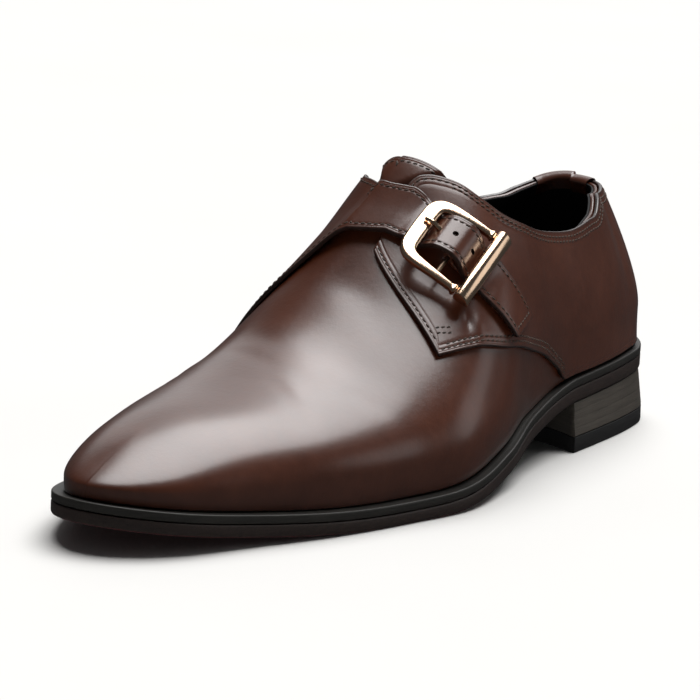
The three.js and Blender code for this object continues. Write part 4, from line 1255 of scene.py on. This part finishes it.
def waist_row(count=400):
    """The stitched line where the two leathers meet: points and the way out of the leather."""
    share = np.linspace(-0.93, 0.93, count)
    s = WAIST_LINE(share)
    t = OUTLINE["middle"](s) - share * np.sqrt(np.where(share < 0, OUTLINE["outer"](s), OUTLINE["inner"](s)))
    s = s + 1.9
    return np.stack([s, t, tread_z(s) + 0.12], -1), np.tile([0.0, 0.0, -1.0], (count, 1))


sole_rings, ahead_of_waist = sole_body()
sole_faces = grid_faces(*sole_rings.shape[:2], wrap_columns=True).tolist()
outsole = make_piece("leather_sole", sole_rings.reshape(-1, 3), sole_faces, {"forepart": ahead_of_waist})
waist_thread = sew("thread_sole", stitches(waist_row(), 4.6, 0.42))

# %% [markdown]
# ### The heel
#
# The heel's front is hollowed in an arc. Its outline is therefore the sole's own edge back from the
# breast, closed by that arc. The stack is cut from several lifts of leather, and the fine lines between
# them are modelled as shallow steps, because they catch light along the whole side.

# %% Heel stack and top lift
HEEL_POINTS = 260  # points round each level


def heel_outline(by):
    r = (BREAST_HALF ** 2 + BREAST_HOLLOW ** 2) / (2 * BREAST_HOLLOW)
    centre = np.array([BREAST_S - BREAST_HOLLOW + r, BREAST_T])
    u = np.linspace(0, float(u_at(BREAST_S + 2)), 120)
    outer, inner = inset(u, 1.0, by), inset(u, -1.0, by)
    keep = lambda p: p[np.linalg.norm(p - centre, axis=1) > r + 0.05]
    outer, inner = keep(outer), keep(inner)
    turn = lambda p: math.atan2(p[1] - centre[1], centre[0] - p[0])
    angles = np.linspace(turn(outer[-1]), turn(inner[-1]), 60)[1:-1]
    breast = centre + (r + max(by - 0.2, 0.0)) * np.stack([-np.cos(angles), np.sin(angles)], -1)
    return np.concatenate([outer, breast, inner[:0:-1]])


def heel_body(name, levels):
    """levels: rows of inset and height, from the top down."""
    rings = []
    for by, z in levels:
        shape = heel_outline(by)
        closed = np.vstack([shape, shape[:1]])
        run = np.concatenate([[0], np.cumsum(np.linalg.norm(np.diff(closed, axis=0), axis=1))])
        where = np.linspace(0, run[-1], HEEL_POINTS, endpoint=False)
        s, t = (np.interp(where, run, closed[:, k]) for k in range(2))
        rings.append(np.stack([s, t, z(s) if callable(z) else np.full(HEEL_POINTS, z)], -1))
    piece = joined(name, tube(rings))
    sharpen(piece, 35)
    return piece


def stack_levels(lifts=4):
    top = lambda s: tread_z(s) - GAP
    bottom = LIFT_HEIGHT + GAP
    rows = [(STACK_IN + 0.15, top), (STACK_IN + 0.02, lambda s: top(s) - 0.2)]
    for k in range(1, lifts):
        f = k / lifts
        for step, more in ((-0.1, 0.0), (-0.03, 0.04), (0.03, 0.04), (0.1, 0.0)):
            level = lambda s, f=f, step=step: mix(top(s), bottom, f) - step
            rows.append((mix(STACK_IN, LIFT_EDGE, f) + more, level))
    return rows + [(LIFT_EDGE + 0.02, bottom + 0.25), (LIFT_EDGE + 0.2, bottom)]


heel_stack = heel_body("heel_stack_leather", stack_levels())
top_lift = heel_body("top_lift_rubber", [
    (LIFT_EDGE + by, z) for by, z in [
        (0.25, LIFT_HEIGHT), (0.02, LIFT_HEIGHT - 0.2), (-0.04, LIFT_HEIGHT - 0.5), (-0.18, 0.7), (-0.1, 0.3),
        (0.15, 0.06), (0.5, 0.0),
    ]
])

# %% [markdown]
# ## Insole
#
# Inside lies a thin sock of black leather over the insole. Only a sliver shows through the collar, but it
# is what the foot stands on, so it has a rolled edge and a slight dish under the heel.

# %% Insole and its sock
def insole_rings():
    f = np.linspace(0, 1, 141)
    more = WALL + 0.8
    top, low = (lambda s: seat_z(s) + 1.2), (lambda s: seat_z(s) - WELT)
    steps = [(1.0, top, 0.0), (0.4, top, -0.12), (0.1, top, -0.5), (0.0, low, 0.6), (0.3, low, 0.0)]
    outer, inner = [], []
    for side, rows in ((1.0, outer), (-1.0, inner)):
        for by, z, d in steps:
            p = feather(f, np.full_like(f, side), more + by)
            rows.append(np.concatenate([p, (z(p[:, 0]) + d)[:, None]], -1))
    cover = [mix(inner[0], outer[0], c) for c in np.linspace(0, 1, 22)[1:-1]]
    for k, p in enumerate(cover):
        dish = math.sin(math.pi * (k + 1) / 21)
        p[:, 2] -= 0.5 * dish * np.exp(-((p[:, 0] - 38) / 26) ** 2)
    under = [mix(outer[-1], inner[-1], c) for c in np.linspace(0, 1, 8)[1:-1]]
    return np.stack([*outer, *under, *inner[::-1], *cover], 1)


insole_points, insole_faces = tube(insole_rings())
insole = make_piece("insole_sock", insole_points, insole_faces[:-2])
print("sole pieces made")

# %% [markdown]
# ## Polished calf
#
# Box calf is nearly smooth: fine pebbled grain, a few larger soft waves, and a clear wax polish on top
# that gives the broad highlights. The brown isn't even: it varies in soft random clouds and is darker at cut
# edges. Low down by the welt it is darkened as painted shade, where the upper curves in under its bulge.

# %% Calf, for every piece of the upper
def calf(name, dark=0.0, has_edge=False):
    finish = Finish(name, Coat_Roughness=0.24, Coat_IOR=1.55, IOR=1.46, Specular_IOR_Level=0.45)
    place = finish.place()
    cloud = finish.noise(place, 0.035, 3.0, 0.55)
    mottle = finish.noise(place, 0.22, 4.0, 0.6)
    pebble = finish.cells(place, 1.55)
    pores = finish.noise(place, 3.4, 2.0, 0.6)
    wave = finish.noise(place, 0.5, 2.0, 0.5)
    shade = (cloud - 0.5) * 0.9 + (mottle - 0.5) * 0.5 + 0.5
    base = finish.ramp(
        shade - dark,
        (0.0, (0.044, 0.0098, 0.0034)), (0.5, (0.077, 0.0178, 0.0058)), (1.0, (0.118, 0.029, 0.0094)),
    )
    low = finish.node("SeparateXYZ", None, {"Vector": place}, out=2)
    # Painted shade: below 14 to 34 mm height the colour darkens towards the welt.
    low_painted_shade = 1 - low.between(14.0, 34.0)
    colour = finish.blend(low_painted_shade * 0.35, base, (0.022, 0.0075, 0.0048))
    dull = 0.36 + (mottle - 0.5) * 0.1 + (cloud - 0.5) * 0.08
    if has_edge:
        cut = 1 - finish.marked("edge").between(0.05, 0.75)
        rubbed = 1 - finish.marked("edge").between(0.5, 1.5)
        colour = finish.blend(rubbed * 0.35, colour, (0.030, 0.011, 0.007))
        colour = finish.blend(cut * 0.8, colour, (0.012, 0.0065, 0.005))
        dull = dull + cut * 0.12
    dust = finish.noise(place, 1.1, 2.0, 0.5).between(0.73, 0.8)
    colour = finish.blend(dust * 0.12, colour, (0.2, 0.12, 0.08))
    grain = finish.bump(pebble.power(0.6) * 0.6 + pores * 0.4, 0.045, 0.55)
    surface = finish.bump(wave, 0.16, 0.35, under=grain)
    coat = 0.75 + (cloud - 0.5) * 0.4
    return finish.feed(Base_Color=colour, Roughness=dull, Normal=surface, Coat_Weight=coat)


calf_vamp = calf("calf_vamp")
calf_cut = calf("calf_cut_edge", has_edge=True)
calf_strip = calf("calf_strip")
calf_tab = calf("calf_tab", dark=0.2)

# %% [markdown]
# ## Lining, thread and insole leather
#
# The lining is a black dyed pigskin: matte, with small pores in threes. Thread is brown polyester, twisted,
# so it carries slanting lines too small to model. The sock is smooth black leather that has dulled.

# %% Soft finishes inside the shoe
def black_lining():
    finish = Finish("lining_leather", Specular_IOR_Level=0.3)
    place = finish.place()
    pores = finish.cells(place, 0.55)
    nap = finish.noise(place, 2.2, 4.0, 0.65)
    hollow = 1 - pores.between(0.05, 0.22)
    tone = nap * 0.7 + finish.noise(place, 0.08, 2.0) * 0.5
    colour = finish.ramp(tone - hollow * 0.3, (0.2, (0.006, 0.006, 0.006)), (0.8, (0.019, 0.019, 0.0195)))
    normal = finish.bump(nap - hollow * 0.6, 0.1, 0.6)
    return finish.feed(Base_Color=colour, Roughness=0.62 + nap * 0.2, Normal=normal)


def spun_thread(name, dark, light):
    finish = Finish(name, Specular_IOR_Level=0.4)
    place = finish.place()
    fibre = finish.node(
        "TexWave", {"wave_type": "BANDS", "bands_direction": "DIAGONAL"},
        {"Vector": place, "Scale": 1.7, "Distortion": 1.2, "Detail": 2.0}, out=1,
    )
    tone = finish.noise(place, 0.3, 2.0) * 0.6 + fibre * 0.4
    colour = finish.blend(tone, dark, light)
    return finish.feed(Base_Color=colour, Roughness=0.5 + fibre * 0.2, Normal=finish.bump(fibre, 0.08, 0.7))


lining_leather = black_lining()
brown_thread = spun_thread("brown_thread", (0.03, 0.018, 0.013), (0.11, 0.075, 0.055))
black_thread = spun_thread("black_thread", (0.004, 0.004, 0.004), (0.02, 0.018, 0.016))


def sock_leather():
    finish = Finish("sock_leather", Specular_IOR_Level=0.35)
    place = finish.place()
    grain = finish.cells(place, 1.1)
    worn = finish.noise(place, 0.05, 3.0)
    colour = finish.ramp(worn * 0.7 + grain * 0.3, (0.3, (0.008, 0.008, 0.008)), (0.8, (0.022, 0.02, 0.019)))
    return finish.feed(Base_Color=colour, Roughness=0.5 + worn * 0.2, Normal=finish.bump(grain, 0.06, 0.5))


# %% [markdown]
# ## Sole leather, waxed edges and rubber
#
# The forepart of the sole is stained oxblood and brushed lengthwise, and the waist behind the cusp is
# black. A knife and a hot iron leave fine lines along every edge. The top lift is plain black
# rubber with a fine matte grain.

# %% Finishes of the bottom
def brushed(finish, place, along, across):
    """Fine lines that run the length of the shoe."""
    return finish.noise(finish.stretched(place, (across, along, across)), 1.0, 4.0, 0.6)


def sole_finish():
    finish = Finish("sole_finish", Specular_IOR_Level=0.5, Coat_Roughness=0.3)
    place = finish.place()
    streak, broad = brushed(finish, place, 0.02, 1.3), brushed(finish, place, 0.008, 0.22)
    nap = finish.noise(place, 1.4, 4.0, 0.6)
    z = finish.node("SeparateXYZ", None, {"Vector": finish.node("NewGeometry", out=1)}, out=2)
    tread = 1 - z.between(-0.75, -0.45)
    fore = finish.marked("forepart").between(-0.15, 0.15)
    oxblood = finish.ramp(
        streak * 0.55 + broad * 0.5,
        (0.3, (0.022, 0.003, 0.004)), (0.62, (0.075, 0.006, 0.008)), (0.85, (0.13, 0.012, 0.012)),
    )
    black = finish.ramp(nap, (0.3, (0.006, 0.006, 0.0065)), (0.8, (0.02, 0.02, 0.021)))
    edge_line = brushed(finish, place, 0.03, 3.0)
    edge = finish.ramp(
        edge_line * 0.75 + nap * 0.25,
        (0.3, (0.010, 0.0065, 0.0055)), (0.55, (0.028, 0.0155, 0.012)), (0.8, (0.055, 0.036, 0.028)),
    )
    colour = finish.blend(tread, edge, finish.blend(fore, black, oxblood))
    height = finish.blend(tread, edge_line, nap * 0.5 + streak * 0.5)
    normal = finish.bump(height, 0.09, 0.6)
    rough = 0.42 + nap * 0.14 - fore * tread * 0.06
    return finish.feed(Base_Color=colour, Roughness=rough, Normal=normal, Coat_Weight=0.1 + fore * tread * 0.2)


def waxed_edge(name, dark, light, duller=0.0):
    finish = Finish(name, Specular_IOR_Level=0.4, Coat_Roughness=0.35)
    place = finish.place()
    line = finish.noise(finish.stretched(place, (0.05, 0.05, 3.2)), 1.0, 4.0, 0.65)
    nap = finish.noise(place, 0.9, 4.0, 0.6)
    patch = finish.noise(place, 0.06, 2.0)
    colour = finish.ramp(line * 0.6 + nap * 0.2 + patch * 0.2, (0.25, dark), (0.8, light))
    normal = finish.bump(line * 0.8 + nap * 0.2, 0.09, 0.65)
    rough = 0.4 + nap * 0.2 + duller
    return finish.feed(Base_Color=colour, Roughness=rough, Normal=normal, Coat_Weight=0.08 + patch * 0.12)


def lift_rubber():
    finish = Finish("lift_rubber", Specular_IOR_Level=0.4)
    place = finish.place()
    nap = finish.noise(place, 2.6, 5.0, 0.7)
    scuff = brushed(finish, place, 0.15, 0.9)
    colour = finish.ramp(nap * 0.5 + scuff * 0.5, (0.3, (0.007, 0.007, 0.0075)), (0.85, (0.026, 0.025, 0.025)))
    normal = finish.bump(nap * 0.6 + scuff * 0.4, 0.08, 0.5)
    return finish.feed(Base_Color=colour, Roughness=0.5 + scuff * 0.25, Normal=normal)


# %% [markdown]
# ## Rose gold plate
#
# The buckle is cast, polished and plated. It reflects nearly everything, so its colour is that of the
# reflection. A real one shows a slight unevenness from hand polishing and hairline rubs.

# %% Plated metal
def rose_gold(name, bright=1.0, rougher=0.0):
    finish = Finish(name, Metallic=1.0, IOR=1.5)
    place = finish.place()
    wave = finish.noise(place, 0.35, 2.0, 0.4)
    hairline = finish.noise(finish.stretched(place, (0.6, 3.5, 0.6)), 2.0, 3.0, 0.6)
    # A bright below 1 scales the colour down: painted shade.
    deep, pale = (tuple(bright * v for v in tone) for tone in ((0.80, 0.54, 0.36), (0.92, 0.69, 0.50)))
    colour = finish.blend(wave, deep, pale)
    rough = 0.12 + rougher + hairline * 0.1
    shape = finish.bump(wave, 0.12, 0.25, under=finish.bump(hairline, 0.012, 0.3))
    return finish.feed(Base_Color=colour, Roughness=rough, Normal=shape)


# %% [markdown]
# ## Dressing the pieces
#
# Each finish is made once and then laid on the pieces that share it, as a maker cuts several pieces from
# one hide. With the finish a piece is also given the name of a slot, which is only printed, and the plain
# model's pieces that it takes the place of, which are hidden. Threads and the collar strip stand for nothing in
# the plain model.

# %% Dress every piece
# The pin's plate is rougher, its own finish, and darkened to 0.28 as painted shade from the strap over it.
plated, rough_shaded_plate = rose_gold("rose_gold"), rose_gold("rough_shaded_plate", 0.28, 0.3)
dress(vamp, calf_vamp, "calf", "upper")
dress(lining, lining_leather, "calf", "upper")
dress(tongue, calf_cut, "calf", "tongue")
dress(outer_quarter, calf_cut, "calf", "outer_quarter")
dress(inner_strap, calf_cut, "calf", "inner_quarter_strap")
dress(strip, calf_strip, "calf")
for thread in (outer_thread, inner_thread, tongue_thread):
    dress(thread, brown_thread, "calf")
dress(buckle_tab, calf_tab, "calf", "buckle_tab")
dress(buckle_frame, plated, "gold_metal", "buckle_frame")
dress(buckle_bar, plated, "gold_metal", "buckle_bar")
dress(buckle_prong, plated, "gold_metal", "buckle_prong")
dress(buckle_pin, rough_shaded_plate, "gold_metal", "buckle_pin")
dress(insole, sock_leather(), "insole_leather", "insole")
welt_edge = waxed_edge("welt_edge", (0.007, 0.0065, 0.0055), (0.034, 0.031, 0.026))
# The stack's edge is waxed leather; its pale tone is set well above the welt's as painted highlight, the sheen
# on the heel's side.
stack_wax_painted_sheen = waxed_edge("stack_wax_painted_sheen", (0.018, 0.0155, 0.0125), (0.105, 0.088, 0.070), 0.02)
dress(welt, welt_edge, "edge_leather", "welt")
dress(outsole, sole_finish(), "sole_leather", "outsole")
dress(waist_thread, black_thread, "sole_leather")
dress(heel_stack, stack_wax_painted_sheen, "edge_leather", "heel_stack")
dress(top_lift, lift_rubber(), "lift_rubber", "top_lift")

# %% [markdown]
# ## The paper under the shoe
#
# The shoe stands on white paper. One flat face is enough for it, since its edge never shows, and a faint
# cloud of fibres keeps it from looking blank. In a small room the floor would glare in polished leather.
# Blender lets a sheet light the leather without showing in its polish, which keeps the lower walls deep
# brown.

# %% Floor
PAPER_HALF = 11  # metres, so its edge is never in view


def white_paper():
    finish = Finish("floor_paper", Specular_IOR_Level=0.1)
    fibre = finish.noise(finish.place(1), 6.0, 2.0)
    colour = finish.blend(fibre, (0.81, 0.80, 0.78), (0.85, 0.84, 0.82))
    return finish.feed(Base_Color=colour, Roughness=0.7 + fibre * 0.1)


paper_mesh = bpy.data.meshes.new("paper")
corners = [(x * PAPER_HALF, y * PAPER_HALF, 0.0) for x, y in ((-1, -1), (1, -1), (1, 1), (-1, 1))]
paper_mesh.from_pydata(corners, [], [(0, 1, 2, 3)])
paper_mesh.materials.append(white_paper())
paper = bpy.data.objects.new("paper", paper_mesh)
bpy.context.scene.collection.objects.link(paper)
paper.visible_glossy = False
print("paper laid,", 2 * PAPER_HALF, "m wide")

# %% [markdown]
# ## Light
#
# One very broad soft light stands nearly overhead, a little behind the shoe, and draws the long highlight
# down the vamp. A weak one low behind the shoe, like a lit backdrop, carries that highlight over the
# toe, and a weak one at the side puts a sheen on the heel. Sun lamps do this with no falloff, and their
# wide angle makes the shadows as soft as those of a large window.

# %% Lights
def soft_sky(name, turn, rise, spread, strength):
    """A round light without end, spread wide in degrees, so the whole floor is lit evenly."""
    data = bpy.data.lights.new(name, "SUN")
    data.angle, data.energy = math.radians(spread), strength
    light = bpy.data.objects.new(name, data)
    light.matrix_world = camera_matrix(turn, rise, 0, (0, 0, 0), 2.0)
    bpy.context.scene.collection.objects.link(light)


soft_sky("overhead", 180, 72, 54, 3.7)
soft_sky("backdrop", 212, 28, 44, 0.35)
soft_sky("side_window", 128, 16, 30, 0.2)
world = bpy.data.worlds.new("studio")
bpy.context.scene.world = world
world.use_nodes = True
world.node_tree.nodes["Background"].inputs["Color"].default_value = (0.95, 0.97, 1.0, 1)
world.node_tree.nodes["Background"].inputs["Strength"].default_value = 0.05
bpy.context.scene.view_settings.view_transform = "Standard"

# %% [markdown]
# ## Last step
#
# The finer meshes are built to fill the CAD model's box and no more. At the end the scene is brought up to
# date.

# %% Bring the scene up to date
bpy.context.view_layer.update()
